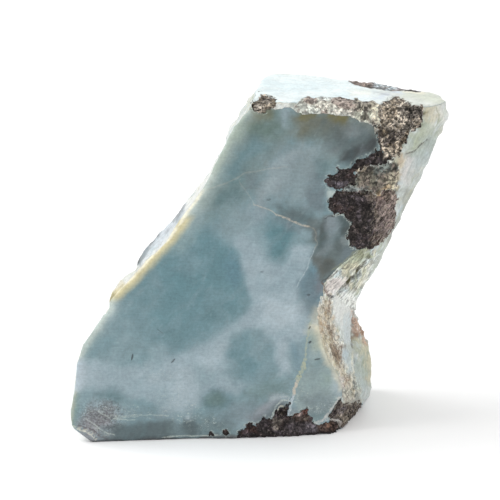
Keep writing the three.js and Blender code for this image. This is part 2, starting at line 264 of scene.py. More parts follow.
# Soft clouds of the sawn face: colour, strength, softness in mm, and the outline as x and z of
# each corner. Later ones lie on top of earlier ones.
faceClouds = [
    ("deep", 0.45, 3.2, [(13, 33), (19, 39.6), (25, 39), (28, 34), (29, 28), (27, 21), (21, 16),
        (13, 16.5), (9, 21), (10, 27)]),
    ("deep", 0.7, 2, [(17, 36), (21, 36.5), (25, 36), (26.8, 35), (27.8, 33.5), (28.5, 31.5), (29, 29.8),
        (29.7, 27.5), (30, 25.5), (29.3, 23), (27.5, 21), (25, 19.4), (22.8, 17.8), (20, 16.2),
        (18.2, 15.2), (16.6, 16.2), (15, 18.5), (14.5, 21.5), (14.8, 25), (15.2, 29), (16, 33)]),
    ("deepBlue", 0.5, 0.9, [(26.3, 33.5), (28.2, 32.5), (28.8, 30.5), (28.8, 28.5), (28, 27), (26.2, 28),
        (25.6, 31)]),
    ("tealDark", 0.5, 1, [(22.6, 24), (25.5, 24.2), (26.6, 22), (24.5, 20.6), (22.4, 21.3)]),
    ("tealDark", 0.4, 1.2, [(16.2, 19.5), (19, 20.2), (20.5, 18.5), (18.7, 16.2), (16.8, 16.8)]),
    ("pale", 0.2, 1.6, [(18, 33.5), (21.5, 34.5), (23, 31), (20.5, 29.4), (17.4, 30.5)]),
    # the long pale drift from the centre down to the lower left
    ("pale", 0.8, 0.8, [(28.4, 33), (27.6, 34.6), (28, 36.5), (30, 35.5), (31.5, 33.5), (33, 32), (36, 31),
        (37.2, 33.5), (39, 34), (40.8, 33.3), (40.2, 31.4), (39.4, 29), (38.4, 27), (38.4, 24.5),
        (40, 22.5), (40, 19), (38.8, 17.5), (37, 17), (36.5, 12), (35.3, 11), (34.6, 14), (34, 17),
        (32.5, 19.5), (30.5, 20), (28.5, 19.2), (29.8, 22.6), (30.5, 25.2), (29.9, 27.5), (29.2, 29.6),
        (28.8, 31)]),
    ("pale", 0.72, 1.1, [(0.6, 14.8), (5, 14.3), (10, 13.6), (13, 13.6), (15, 14.5), (17, 15.2),
        (20, 15.9), (22.5, 17), (25, 18.8), (27.5, 20.8), (29.5, 22.2), (31, 20), (28.5, 19.2), (26.5, 18),
        (25.3, 15.8), (26, 13.5), (25.6, 11.5), (28, 10.4), (30, 9.6), (28, 7.5), (26, 8.6), (24, 8.8),
        (22.4, 7.4), (21.6, 5.5), (19, 4.6), (16, 4.8), (14, 6.5), (10, 8), (8, 8.4), (6, 9.4),
        (0.4, 9.5)]),
    ("bright", 0.5, 1.8, [(0.6, 13.6), (2.8, 13.6), (3.2, 10.2), (0.8, 9.6)]),
    ("bright", 0.42, 1.6, [(16.8, 12), (20, 12.8), (21, 10), (20.6, 6.6), (17.5, 5.4), (16.4, 8.6)]),
    ("bright", 0.28, 1.1, [(11.3, 12.3), (14.6, 12.3), (15, 10.3), (11.3, 10.1)]),
    ("bright", 0.62, 1.7, [(32.2, 24.8), (36, 24.8), (38.6, 23.6), (39, 20.6), (36.5, 19), (33.6, 19.4),
        (31.8, 21.8)]),
    ("bright", 0.25, 1.3, [(29.8, 31.2), (33, 31.4), (33.6, 28.4), (30.4, 27.8)]),
    ("bright", 0.25, 0.9, [(37, 33.2), (40.4, 33.4), (40, 31.4), (38, 31)]),
    ("bright", 0.3, 0.9, [(34.7, 16.5), (36.4, 16.6), (36.6, 11.5), (35.3, 11)]),
    ("bright", 0.3, 1.3, [(24.2, 16.6), (26.5, 18.3), (25.5, 15.5), (24.5, 13), (22.6, 12), (21.6, 14.2)]),
    ("larimar", 0.55, 1.1, [(20.4, 13.5), (22.4, 12.8), (24.6, 11.4), (24.4, 9.6), (22.4, 9.4),
        (20.8, 10.8)]),
    ("tealDark", 0.95, 1.3, [(22.6, 8.2), (24.2, 9), (26, 8.6), (27, 7.2), (26.4, 5.6), (24.6, 5),
        (22.9, 5.8), (22.2, 7)]),
    ("deep", 0.8, 1.3, [(26.2, 15.2), (28, 17.8), (29.8, 18.6), (30.9, 17), (31, 14.5), (32, 12.5),
        (31, 10.8), (29, 11.5), (26.8, 13)]),
    ("tealDark", 0.4, 0.8, [(27.5, 14.7), (29.9, 14.7), (29.9, 13.3), (27.7, 13.1)]),
    ("greenDark", 0.42, 1.5, [(29.6, 8.8), (33, 10.4), (36.8, 10), (37.2, 7.4), (34, 7.2), (31, 6.6),
        (29.2, 7.4)]),
    ("deepBlue", 0.5, 0.7, [(37.5, 16.8), (38.9, 16.4), (38.7, 12.2), (37.5, 12.4)]),
    ("slate", 0.5, 1.7, [(26.6, 5.6), (31, 6.4), (34, 5.4), (33, 3.2), (29, 2.2), (25.5, 3)]),
    ("lilacPale", 0.5, 0.9, [(29.4, 3.4), (31.6, 5.2), (33.6, 6.8), (35.8, 7.6), (36.6, 6.8), (34.4, 5.4),
        (33.4, 4), (31.4, 3.6)]),
    ("bright", 0.6, 0.6, [(31, 4), (32.6, 5.4), (34.4, 6.8), (36.2, 7.4), (36.8, 6.8), (34.8, 6),
        (34, 4.6), (32.6, 4.2)]),
    # upper part
    ("tealGrey", 0.85, 2.6, [(19.5, 41.5), (24, 50), (28, 58.6), (40, 59), (52, 57), (52, 49), (46, 47.5),
        (42, 46), (41, 50.5), (37.4, 52), (34.4, 50), (32, 45), (29, 41.8), (24, 39.5)]),
    ("pale", 0.5, 2, [(24.5, 38.3), (28, 41.4), (31.2, 41.6), (33, 40), (32, 37.4), (29.5, 35.3),
        (26.4, 35.6)]),
    ("purpleGrey", 0.2, 1.8, [(28, 39.5), (31.5, 41.8), (33, 40), (31.5, 38)]),
    ("tealGrey", 0.3, 1.6, [(24, 41), (30, 41), (31, 37), (26, 35.6)]),
    ("deep", 0.9, 1.3, [(33.4, 38.2), (36.5, 38), (37.4, 36), (36.7, 33.8), (35.8, 31.9), (34, 31.6),
        (33, 33.5), (32.6, 36)]),
    ("tealDark", 0.45, 0.9, [(33.8, 36.9), (36, 36.7), (36.1, 34.6), (34, 34.7)]),
    ("tealDark", 0.4, 0.7, [(34.6, 33.5), (36.1, 33.3), (35.7, 32), (34.5, 32.1)]),
    ("slate", 0.55, 0.7, [(36.3, 37.9), (38.9, 37), (38.6, 36), (36.3, 36.5)]),
    ("paleGrey", 0.6, 2.6, [(31, 42), (34.5, 42.5), (38, 42), (41.5, 41), (42, 46), (41.5, 50.5),
        (38, 51.8), (35, 50.5), (33, 46.5)]),
    ("bright", 0.22, 1.2, [(31, 42), (33.6, 43.4), (35.2, 47), (37.4, 48.6), (39.2, 50.8), (37.2, 51),
        (34.4, 49), (32.2, 46)]),
    ("bright", 0.2, 0.7, [(38, 51.5), (41.2, 51.2), (41.4, 50.3), (38.2, 50.4)]),
    ("larimar", 0.3, 1.4, [(35.5, 46), (38.5, 47.5), (41.5, 46.5), (41, 43), (37, 42.6)]),
    ("oliveWash", 0.5, 1.5, [(37.4, 55.6), (41.2, 56.6), (41.2, 53.4), (38.8, 51.4), (36.6, 52.4)]),
    ("oliveWash", 1, 1.2, [(38, 56.2), (47, 56.6), (47.6, 53.8), (44, 52.8), (38.4, 53)]),
    ("olive", 0.85, 0.4, [(38.6, 57.6), (41.6, 57.8), (41.2, 56.2), (40, 55.2), (38.9, 56)]),
    ("olive", 0.95, 0.5, [(42.6, 57.4), (46.8, 57.2), (46.2, 55.2), (44.6, 54.8), (43.2, 56)]),
    ("smoky", 0.35, 1.4, [(40.6, 56), (43.4, 54.8), (43, 51.8), (40.4, 52.6)]),
    ("greenDark", 0.95, 1.6, [(30, 55.7), (34.5, 56.6), (35.6, 54.6), (33, 52.8), (29.8, 53.5)]),
    ("greenPale", 0.6, 1.2, [(26.6, 54.4), (29, 56.8), (30, 54.6), (28.6, 52.4), (26.6, 52.6)]),
    ("olive", 0.6, 0.9, [(29.8, 58.4), (34.4, 58.4), (33.6, 56), (30.4, 55.8)]),
    ("pale", 0.5, 0.7, [(35, 58.6), (36.8, 58), (36.6, 54.4), (35.5, 54.4)]),
    ("deep", 0.65, 1.4, [(25.4, 46.8), (27.4, 50), (31, 53), (33.2, 51.6), (31.6, 49.4), (28.8, 47.6),
        (28.6, 45.6), (25.6, 45.2)]),
    ("slate", 0.55, 1, [(29.2, 46.7), (31.7, 46.8), (31.9, 44.5), (30, 44)]),
    ("tealDark", 0.55, 1.1, [(23.4, 41.8), (25.6, 43.8), (28.4, 45.3), (29.3, 43.6), (28.2, 41.8),
        (25.6, 40.8)]),
    ("smoky", 0.75, 0.9, [(33.8, 41.3), (36.6, 40.8), (40.6, 39.4), (42.2, 38.4), (42, 36.6), (40, 36.7),
        (37, 38), (34.8, 39.6)]),
    ("slate", 0.6, 1, [(40.4, 46.5), (42.4, 46), (43, 43), (43, 40.6), (41, 40), (39.6, 42)]),
    ("slate", 0.5, 0.7, [(33.4, 39.6), (35.2, 39), (37.4, 37.9), (36.6, 37.3), (34, 38.2)]),
    ("slate", 0.5, 1.1, [(39.4, 42.6), (42.6, 43), (42.9, 40.6), (40, 40.2)]),
    ("tealDark", 0.5, 0.8, [(41, 48.8), (43.4, 49), (44, 47.5), (42.2, 45.8), (41.2, 46)]),
    ("smoky", 0.78, 1.5, [(43, 55), (50.4, 55.4), (51.6, 52.6), (49, 50), (46, 49.2), (43.2, 50.4)]),
    ("smokyDark", 1, 0.8, [(46, 50.3), (48.4, 51.2), (51.8, 52.6), (51.4, 50.2), (49, 49.2), (46.6, 48),
        (45.2, 48.4)]),
    ("paleGrey", 0.5, 1, [(45.2, 54.3), (48.6, 54.7), (49.6, 53.3), (46.6, 52.5)]),
    ("paleGrey", 0.3, 1, [(42.8, 50.6), (45, 51.4), (45, 49), (43, 48.8)]),
    ("oliveWash", 0.5, 1, [(47.6, 56), (51, 55.4), (51.6, 53), (49.6, 53.4)]),
    # right of the crack
    ("deepBlue", 0.75, 0.8, [(39.6, 29.6), (40.6, 31.6), (41.8, 29.4), (42.4, 27.4), (43.2, 25.8),
        (42.4, 24), (40.6, 23.4), (39, 25), (38.6, 27.2)]),
    ("slate", 0.6, 1.2, [(39.6, 29.6), (41.6, 29.4), (42.6, 26), (42.6, 22.6), (41, 20.8), (39, 22),
        (38.6, 26)]),
    ("purpleGrey", 0.65, 0.7, [(41.2, 29.2), (42.6, 28.2), (42.8, 25.4), (41.4, 25.4)]),
    ("cream", 0.55, 1, [(40, 20.4), (41.2, 22.8), (43, 23.4), (43, 17.6), (41.4, 18.2), (40.2, 18.6)]),
    # small lower facet
    ("greyGreen", 0.85, 0.6, [(40.4, 19), (42, 18.6), (43, 15.4), (44, 13.4), (45.6, 10.6), (46.6, 8.4),
        (46.2, 6.2), (44.6, 4.2), (42.6, 2.4), (40.6, 2.2), (38.2, 5), (37.6, 7), (38.6, 9.6),
        (39.6, 12.6), (40.2, 15.6)]),
    ("deep", 0.35, 0.9, [(40.2, 13.8), (42.8, 13.8), (42.4, 11.8), (40.2, 11.6)]),
    ("greenPale", 0.55, 0.9, [(42.8, 11), (44.8, 10.8), (44.6, 9), (42.8, 9)]),
    ("bright", 0.5, 0.9, [(44.5, 11.6), (45.9, 9.8), (46.4, 7), (44.6, 7.2), (43.7, 9)]),
    ("slate", 0.55, 1, [(39, 7), (43.6, 7), (44.6, 5), (42.6, 2.6), (40.6, 3), (39.8, 5)]),
    ("cream", 0.75, 0.45, [(40.3, 19.6), (42.3, 19.6), (43.4, 16), (44.4, 13.6), (45.8, 11), (46.6, 8.4),
        (45.6, 8.2), (44.7, 10.6), (43.2, 12.8), (42, 15.4), (41.4, 18)]),
    ("rindGreen", 0.5, 0.8, [(40.4, 18.6), (41.6, 18.4), (42.2, 15.6), (41, 15)]),
    ("rimPale", 0.2, 2, [(15.2, 33.2), (19.5, 40.5), (22.6, 41.2), (21.6, 37.5), (18.4, 33.5)]),
    # painted shade along the crack near the base
    ("tealDark", 0.55, 0.7, [(40.8, 3.8), (43.2, 4.2), (43.4, 3.6), (42, 2.4), (40.8, 2.2)]),
    ("rimPale", 0.6, 0.35, [(42.8, 43.6), (44.4, 43.3), (44.5, 42.8), (43.8, 42), (43.2, 42.2)]),
    ("purpleGrey", 0.65, 0.6, [(30, 3), (31.6, 4.6), (33, 6), (36.6, 6.4), (36.8, 3), (31, 2)]),
    ("dullTealDark", 0.5, 0.5, [(31, 2.6), (32.4, 3.8), (34.2, 5.6), (36.6, 6), (36.6, 3), (31, 1.6)]),
    ("lilacPale", 0.45, 0.5, [(36.8, 4.4), (38.6, 4.8), (38.6, 3.6), (37, 3)]),
    ("greenDark", 0.5, 0.8, [(22.8, 8), (25.4, 8.4), (26.2, 7), (24.6, 5.8), (22.8, 6.4)]),
    # lower edge, darker towards the base
    ("slate", 0.4, 1.2, [(7.6, 6), (16, 5.4), (16.4, 3.4), (7.6, 3.2)]),
    ("tealDark", 0.75, 1.1, [(4, 8.6), (6, 9.8), (8.4, 9.2), (9.2, 6.8), (7.6, 5.6), (5.6, 6.8)]),
    ("cornerGrey", 1, 1.3, [(1.6, 4.6), (3, 6.4), (6.4, 6.8), (7.8, 5.4), (7.4, 3.6), (4.6, 2.2), (2, 2)]),
    ("lilacPale", 0.85, 0.3, [(-1, 2.4), (0.6, 2.2), (2.6, 1.4), (4.2, 0.2), (4.4, -1), (-1, -1)]),
    ("lilacPale", 0.5, 0.6, [(0.4, 3.8), (1.8, 4.4), (3.2, 3.2), (2.6, 1.8), (0.8, 2.2)]),
    ("lilacPale", 0.7, 0.7, [(2.4, 3), (4.6, 3.8), (7.4, 3.4), (7.4, 0.4), (5.2, -0.2), (3.6, 0.6)]),
    ("dullTeal", 0.6, 0.6, [(4.6, 2.6), (8, 2.8), (8, -0.4), (5, -0.4)]),
    ("dullTealDark", 0.95, 0.7, [(7, 3.1), (17, 3.4), (17.4, -1), (6.4, -1)]),
    ("dullTeal", 0.7, 0.9, [(16, 3), (23.5, 3.3), (27, 2.6), (29, -1), (16, -1)]),
    ("dullTealDark", 0.9, 0.6, [(18.2, 2), (18.8, 3.5), (21, 3.5), (21.4, 1), (19.4, 0.5)]),
    ("bright", 0.6, 0.3, [(19.2, 3.9), (20.2, 4), (20.2, 3.2), (19.4, 3.2)]),
    ("dullTeal", 0.45, 1.4, [(20.5, 4.4), (24.5, 4.8), (28, 4), (27.6, 2.6), (21, 2.6)]),
    ("rockBrown", 0.75, 0.2, [(21.6, 0.3), (24, 0.6), (28.6, 0.9), (28.6, -1), (21.6, -1)]),
    # painted contact shadow: a black line along the foot of the face
    ("black", 0.85, 0.15, [(2, 0.15), (48, 0.2), (48, -1), (2, -1)]),
]

# The dark lens beside the rock, with crisper edges.
lensMarks = [
    ("lens", 0.9, 0.9, [(39.8, 38.6), (41.6, 38.4), (41.6, 35.4), (41, 34), (40.2, 34.6), (40.2, 37)]),
    ("lens", 0.95, 0.3, [(42.5, 39), (42, 38), (41.7, 36.6), (41.6, 35), (41.1, 33.6), (40.5, 32),
        (40.7, 30.6), (41.5, 29.7), (42, 27.6), (42.8, 27.4), (45.4, 29.2), (49, 32.8), (47.4, 34.6),
        (47.4, 38), (46.6, 39.2), (43.4, 39.5)]),
    ("lensDark", 0.75, 0.5, [(41.5, 35), (41.9, 37), (42.8, 38.8), (43.3, 37.6), (42.9, 36), (43.1, 34),
        (42.4, 33), (41.5, 33.4)]),
    ("lensDark", 0.9, 0.4, [(44.9, 39.2), (46.9, 38.5), (47.3, 37), (46.7, 35.9), (45.5, 35.6), (45, 36.6),
        (45.4, 38)]),
    ("lensEye", 0.9, 0.7, [(42.9, 39), (44.6, 39.2), (45.2, 37.6), (44.8, 36), (43.6, 35.6), (43, 37)]),
    ("lensEye", 0.5, 0.5, [(42.8, 34.6), (44.4, 35.4), (44.2, 33.4), (43, 32.4), (41.4, 31.8),
        (41.6, 32.8)]),
    ("lensDark", 0.4, 0.5, [(44.6, 35.4), (46.2, 35.2), (46.4, 33.2), (45, 32.4), (44.2, 33.4)]),
    ("lensBrown", 0.8, 0.5, [(40.8, 31.6), (42.2, 32), (44, 31.6), (44.6, 30.6), (43.4, 29), (42.2, 28.2),
        (41.6, 29.8)]),
    ("lensDark", 0.5, 0.5, [(42.2, 31), (44.2, 31.2), (44, 29.6), (42.8, 28.8)]),
    ("lensBrown", 0.6, 0.3, [(40.6, 37.2), (41.5, 37), (41.8, 35), (41.2, 34), (40.6, 35.4)]),
    ("slate", 0.6, 0.3, [(46, 33.6), (48.4, 33.4), (47.4, 31.8), (45.8, 30.6), (44.8, 30.4),
        (45.4, 31.8)]),
    ("paleGrey", 0.5, 0.3, [(45.6, 35.4), (46.8, 35), (47.2, 34), (46, 33.8), (45.2, 34.4)]),
]

# Cream rim along the front face's left edge: places on the edge from the base up.
leftEdge = [(-0.3, 3.4), (0.2, 7.5), (0.7, 9.6), (1, 12), (1.1, 14.5), (2, 17), (3.4, 19), (5, 21.4),
    (6.5, 23.6), (7.2, 25.4), (8.4, 27.4), (9.8, 28.6), (11.6, 30.6), (13.4, 32.4), (15.2, 34.4),
    (16.9, 36.2), (18.2, 37.8), (19.3, 39.6), (20.4, 41.2), (22.2, 43.7), (23.8, 46.6), (25, 49.2),
    (25.9, 51), (26.9, 53.4), (28.2, 56), (29.8, 58)]
# The pale and lilac-white marks and the thin white crest are painted light along the lit, thin left edge;
# the cream, ochre and green are the rim's own colour.
rimMarks = [  # colour, strength, full width, reach inward in mm, from z, to z
    ("rimPale", 0.3, 0.3, 3.4, 40, 60),
    ("rimPale", 0.7, 0.0, 1.2, 15, 60),
    ("rimPale", 0.3, 0.0, 2.2, 15, 26),
    ("rimLilac", 0.45, 0.0, 2.0, 9, 15),
    ("greenPale", 0.45, 0.2, 1.3, 2, 9),
    ("cream", 0.3, 0.0, 0.5, 2, 9.5),
    ("greenPale", 0.35, 0.2, 1.5, 47, 57),
    ("ochre", 0.95, 0.35, 2.0, 25.4, 39.6),
    ("creamWhite", 0.8, 0.1, 0.45, 26.5, 44),
]

# How far the sides stand out, and the left side's marks, drawn where its layers meet the front.
leftOutline = [(3.3, 0), (-0.1, 2.8), (-0.3, 5.2), (0.5, 9.6), (1, 14.2), (2.1, 17.6), (4.6, 21.2),
    (6.5, 23.9), (6.7, 25.2), (6.9, 26.2), (7.4, 27.7), (8.2, 28.5), (9.3, 29.5), (11.2, 30.6),
    (11.5, 32.2), (12, 33), (12.5, 34), (13.4, 34.9), (14.8, 36.6), (16.4, 38), (18, 39.8), (19, 41.4),
    (20, 43.2), (21.2, 45.2)]
rightOutline = [(44.2, -0.2), (45, 0.2), (46, 1), (47.2, 1.7), (48, 2.7), (48.5, 3.5), (48.9, 4.2),
    (49.2, 5), (49.5, 5.6), (50.1, 6.4), (50.5, 7.2), (50.8, 8.4), (50.6, 10.5), (50.7, 13), (50.5, 14.6),
    (50.1, 15.8), (49.6, 17.3), (48.9, 19.5), (48.2, 21), (47.8, 22), (48.2, 23.4), (48.5, 24.5),
    (49.2, 26.2), (50.3, 28.2), (51.7, 30.4), (53.1, 33.4), (54.2, 36), (55.3, 38), (56.6, 41.5),
    (57.8, 43.9), (58.7, 45.6), (60.1, 48.6), (60.7, 50.6), (61.8, 53), (62.8, 55.6), (63, 56.8),
    (62.8, 57.8), (62.3, 58.5)]
# The lilac, slate, grey and blue marks and the shadow lines are painted shade on the lumps' undersides and
# outer edges; the white, cream, ochre, olive and green are the rind's own colour.
leftMarks = [
    ("rindWhite", 1, 0.4, [(6, 25), (6, 30), (18, 47), (26, 50), (22, 42), (9, 26)]),
    ("rimLilac", 0.8, 0.4, [(11, 31), (12.6, 34.4), (16, 38.6), (19.6, 42.4), (19.4, 40), (16.8, 36.4),
        (12.6, 32)]),
    ("cream", 0.7, 0.4, [(6.6, 25), (7, 28), (8.6, 29), (9.6, 28.6), (8.6, 26.8)]),
    ("ochre", 0.9, 0.3, [(6.6, 25), (6.9, 26.6), (8.2, 27.6), (9.4, 28.2), (8.8, 26.6), (7.4, 24.8)]),
    ("olive", 0.6, 0.3, [(6.8, 25.2), (7.2, 26.4), (8, 26.6), (8, 25.8), (7.2, 25)]),
    ("rindGreen", 0.4, 0.4, [(8.6, 28.8), (10.6, 30.6), (11.3, 30.4), (10, 29.2)]),
    ("slate", 0.65, 0.4, [(11.2, 31.3), (11.8, 33.6), (13.2, 34.8), (13.5, 34.2), (12.6, 32.6),
        (11.9, 31.4)]),
    ("slate", 0.5, 0.3, [(13.4, 35), (14.6, 36.8), (15.4, 37.4), (15.2, 36.6), (14, 35)]),
    ("purpleGrey", 0.4, 0.3, [(15.9, 36.8), (16.6, 37.8), (17.4, 38.3), (17.2, 37.5), (16.4, 36.8)]),
    ("slate", 0.4, 0.35, [(17.4, 38.6), (18.4, 40.4), (19.4, 41.4), (19.3, 40.4), (18.2, 38.8)]),
    ("rindBlue", 0.6, 0.3, [(12.9, 33), (13.7, 34.2), (14.6, 34.6), (14, 33.4)]),
    ("shadow", 0.6, 0.12, [(11.2, 31.2), (11.4, 32.4), (12.2, 34), (12.5, 34), (12.1, 33), (11.8, 31.8)]),
    ("shadow", 0.65, 0.2, [(13.3, 34.9), (14.2, 36.6), (15.2, 37.8), (15.5, 37.4), (14.5, 36),
        (13.6, 34.8)]),
    ("shadow", 0.55, 0.2, [(17.2, 38.8), (18.4, 40.6), (19.2, 41.9), (19.4, 41.7), (18.6, 40.2),
        (17.5, 38.7)]),
]

# Marks on the broken flank, drawn where its layers meet the front.
flankMarks = [
    ("rindWhite", 0.6, 1, [(50, 28.5), (53.4, 35), (55.6, 39.5), (57.4, 44), (58.6, 48), (59.8, 47),
        (57, 40), (53, 32), (50.6, 27)]),
    ("pinkWhite", 0.5, 0.9, [(55.2, 49.4), (57.6, 49.4), (57.8, 46), (56.4, 43.4), (55, 44.4)]),
    ("rindGreen", 0.8, 1, [(56.4, 52.8), (59, 55.6), (60.8, 54.6), (60.8, 51.5), (58.8, 49), (56.4, 50)]),
    ("rindBlue", 0.5, 0.8, [(59, 52), (61, 52), (59, 46.5), (57.4, 45.5), (57.8, 49)]),
    ("cream", 0.75, 0.8, [(58.8, 58.8), (61.4, 58.4), (62, 55.6), (60.6, 54.4), (59, 55.4)]),
    ("rindWhite", 0.6, 0.7, [(60.2, 59), (63.4, 58.4), (63.6, 54), (62, 54), (61.4, 57.4)]),
    ("olive", 0.8, 0.3, [(58.3, 57), (59.4, 56.6), (59.1, 55.7), (58.2, 55.9)]),
    ("tan", 0.8, 0.35, [(54.9, 49.6), (55.8, 49.6), (55.5, 47.2), (55, 44.2), (54.2, 44), (54.6, 47)]),
    ("rindGreen", 0.9, 0.6, [(44.4, 29.6), (46, 31.4), (48, 33.2), (50.2, 33), (50.4, 31.8), (48.4, 30.2),
        (46, 29.4)]),
    ("rindOlive", 0.75, 0.6, [(47.4, 31.6), (48.6, 33.2), (50.6, 33.2), (50, 31.8), (48.2, 30.8)]),
    ("cream", 0.6, 0.6, [(46, 30.2), (48.4, 31), (48.8, 29.6), (46.8, 28.6), (45.6, 29.2)]),
    ("pinkWhite", 0.9, 0.4, [(42.8, 27.2), (44, 28.2), (46.4, 28.2), (46.4, 26.8), (45, 25.4),
        (43.2, 25.2), (42.6, 26.2)]),
    ("oliveDark", 0.95, 0.35, [(46.4, 27.6), (47.2, 28.8), (48.6, 29.7), (48.8, 29), (47.6, 27.8),
        (46.9, 27.1)]),
    ("cream", 0.5, 0.7, [(47.4, 26.6), (49.4, 30), (50.6, 30.6), (50, 28), (48.4, 25.4)]),
    ("rindWhite", 0.9, 0.6, [(43.8, 25), (47.6, 26.4), (48.4, 23.4), (47.9, 20), (47.6, 16.6),
        (46.4, 16.4), (45.6, 19.4), (44, 22)]),
    ("rindBlue", 0.55, 0.5, [(46.2, 21.6), (47.6, 22), (47.7, 17), (48, 12), (47.6, 9.6), (46.9, 11),
        (46.6, 14), (46, 17.5)]),
    ("tan", 0.68, 0.5, [(41.6, 23), (42.4, 24.6), (43.7, 24.8), (43.9, 21.4), (44.9, 19.6), (45.4, 17.4),
        (45.8, 13.6), (46.8, 11), (48.4, 9.6), (49, 7.4), (47.6, 6.4), (46.6, 8), (45.2, 10.8), (44, 13),
        (42.6, 15.2), (42, 18.4), (40.2, 19.4)]),
    ("cream", 0.7, 0.5, [(41.8, 18.8), (43.4, 18.4), (44, 15.4), (45, 12.6), (44.6, 11.4), (43.6, 13.6),
        (42.4, 15.6)]),
    ("orange", 0.6, 0.45, [(41.9, 21), (42.7, 21), (42.8, 18.4), (41.9, 18.4)]),
    ("orange", 0.35, 0.6, [(43.4, 24.4), (44, 22), (43.5, 20.6), (43.1, 22)]),
    ("brown", 0.65, 0.4, [(43.2, 20.2), (44.1, 19.6), (44.8, 17.8), (44.2, 17.2), (43.4, 18.8)]),
    ("brown", 0.7, 0.5, [(44, 16.6), (46.2, 16), (45.8, 13.4), (45, 12.8), (44.2, 14.4)]),
    ("pinkWhite", 0.8, 0.5, [(45, 11.6), (46, 10.4), (46.4, 8), (45.4, 7.6), (44.8, 9)]),
    ("olive", 0.5, 0.6, [(47, 10.4), (48.6, 9.8), (48.8, 7.6), (47.2, 7.8)]),
    ("brown", 0.6, 0.35, [(46.3, 10.8), (47.2, 10.8), (47, 8.4), (46.3, 8.6)]),
    ("oliveGrey", 0.7, 0.5, [(45.2, 8), (47.4, 8.2), (48.6, 7), (47, 6), (45.4, 6.4)]),
    ("rindShade", 0.5, 1, [(50, 29), (53.4, 35), (57.4, 43), (58.6, 44), (54, 34), (51, 28)]),
    ("rindShade", 0.5, 1, [(55.2, 41), (56.8, 46), (58.4, 50), (60.2, 54), (62, 54), (60.4, 49.6),
        (58.4, 45), (56.6, 41)]),
    ("oliveGrey", 0.4, 0.9, [(52.4, 35), (54.6, 38), (56.6, 43), (57.6, 43), (55.4, 38), (53.4, 34)]),
    ("oliveGrey", 0.35, 0.3, [(55, 43.4), (56.4, 43.8), (57, 43.3), (56, 42.4)]),
    ("oliveDark", 0.95, 0.3, [(46.3, 27.4), (46.8, 28.4), (48.4, 29.8), (48.9, 29.4), (48, 28), (47, 27)]),
    ("rockMauve", 0.8, 0.3, [(42, 2), (43.6, 3.2), (45.8, 3.2), (46.8, 2), (46, 0.6), (44, 1.8)]),
    ("rockTan", 0.8, 0.35, [(45.8, 6.4), (47, 6.9), (48.6, 6.7), (49.3, 5.6), (47.6, 5.1), (46.2, 5.2)]),
    ("brown", 0.5, 0.3, [(47.8, 7.6), (49.1, 7.4), (49.2, 5.8), (47.9, 5.6)]),
    # the bulge low on the right
    ("rindShade", 0.7, 1.2, [(47.6, 18), (50.6, 17), (51.4, 13), (51, 7), (48, 6)]),
    ("rindOlive", 0.55, 1, [(48.6, 17), (51.4, 16), (51.6, 9), (49.6, 8.6)]),
    ("rindGreen", 0.7, 0.9, [(48.3, 16.6), (50.4, 17), (51, 13), (50.4, 9), (49.4, 9.4), (48.6, 12.4)]),
    ("rindBlue", 0.4, 0.7, [(48.2, 14), (49.2, 14.2), (49.9, 11), (50.6, 7), (49.4, 6), (48.6, 8),
        (48.2, 11)]),
    ("cream", 0.6, 0.6, [(48.2, 17.4), (50.6, 17), (51, 15), (49, 14.6)]),
    ("cream", 0.8, 0.5, [(49.9, 14.6), (51, 14), (51.2, 9.6), (50.4, 9)]),
    ("pink", 0.8, 0.4, [(47.6, 22.4), (48.8, 20.4), (50.4, 16.4), (49.6, 16), (48.7, 17.8), (48, 18),
        (47.5, 20)]),
    ("brown", 0.5, 0.35, [(47.9, 18.6), (49.2, 18.2), (49, 17.3), (47.9, 17.6)]),
    ("rindWhite", 0.5, 0.6, [(49.6, 6.6), (51.2, 9.4), (51.4, 8), (50.4, 6), (49.6, 5.4)]),
]

# Crumbly hollow beside the dark rock.
pocketOutline = [(47.7, 46.2), (47.4, 47.3), (48.4, 47.4), (50, 47.9), (52.4, 48), (54.2, 48.4),
    (55.1, 47.4), (54.9, 45.2), (54.6, 42.6), (52.4, 41.6), (50.8, 41.4), (49.4, 42.4), (47.6, 42.6),
    (45.4, 43), (46, 44.4), (47.7, 45)]
pocketMarks = [
    ("pocketGrey", 1, 0.5, pocketOutline),
    ("clumpGrey", 0.5, 0.4, [(48, 46.2), (50.2, 46.2), (52.6, 45.8), (52.6, 43.4), (48, 43.2)]),
    ("oliveGrey", 0.4, 0.5, [(50, 46), (52.6, 46), (52.6, 43.8), (50.4, 43.4)]),
    ("cream", 0.5, 0.4, [(52.4, 46.2), (54.2, 46.4), (54.2, 44.2), (52.8, 43.8)]),
    ("paleGrey", 0.6, 0.4, [(45.9, 44.1), (47.7, 44.1), (49.8, 44), (49.8, 43.2), (46, 43.1)]),
    ("greyGreen", 0.4, 0.4, [(50.6, 47.6), (53.6, 48), (53.6, 46.2), (50.8, 46)]),
    ("shadow", 0.6, 0.3, [(49.2, 47.1), (50.6, 47.4), (50.6, 46.8), (49.4, 46.5)]),
    ("tan", 0.8, 0.2, [(47, 46.6), (47.4, 47.2), (49.4, 47.6), (49.5, 47), (48, 46.7)]),
    ("cream", 0.8, 0.4, [(52.6, 42.8), (54, 44.2), (55, 47.2), (56, 48.8), (55.2, 46), (54.6, 43.4)]),
    ("orange", 0.45, 0.3, [(51.2, 42.4), (52.6, 43.8), (53.6, 44.2), (54, 43.2), (52.2, 42)]),
]

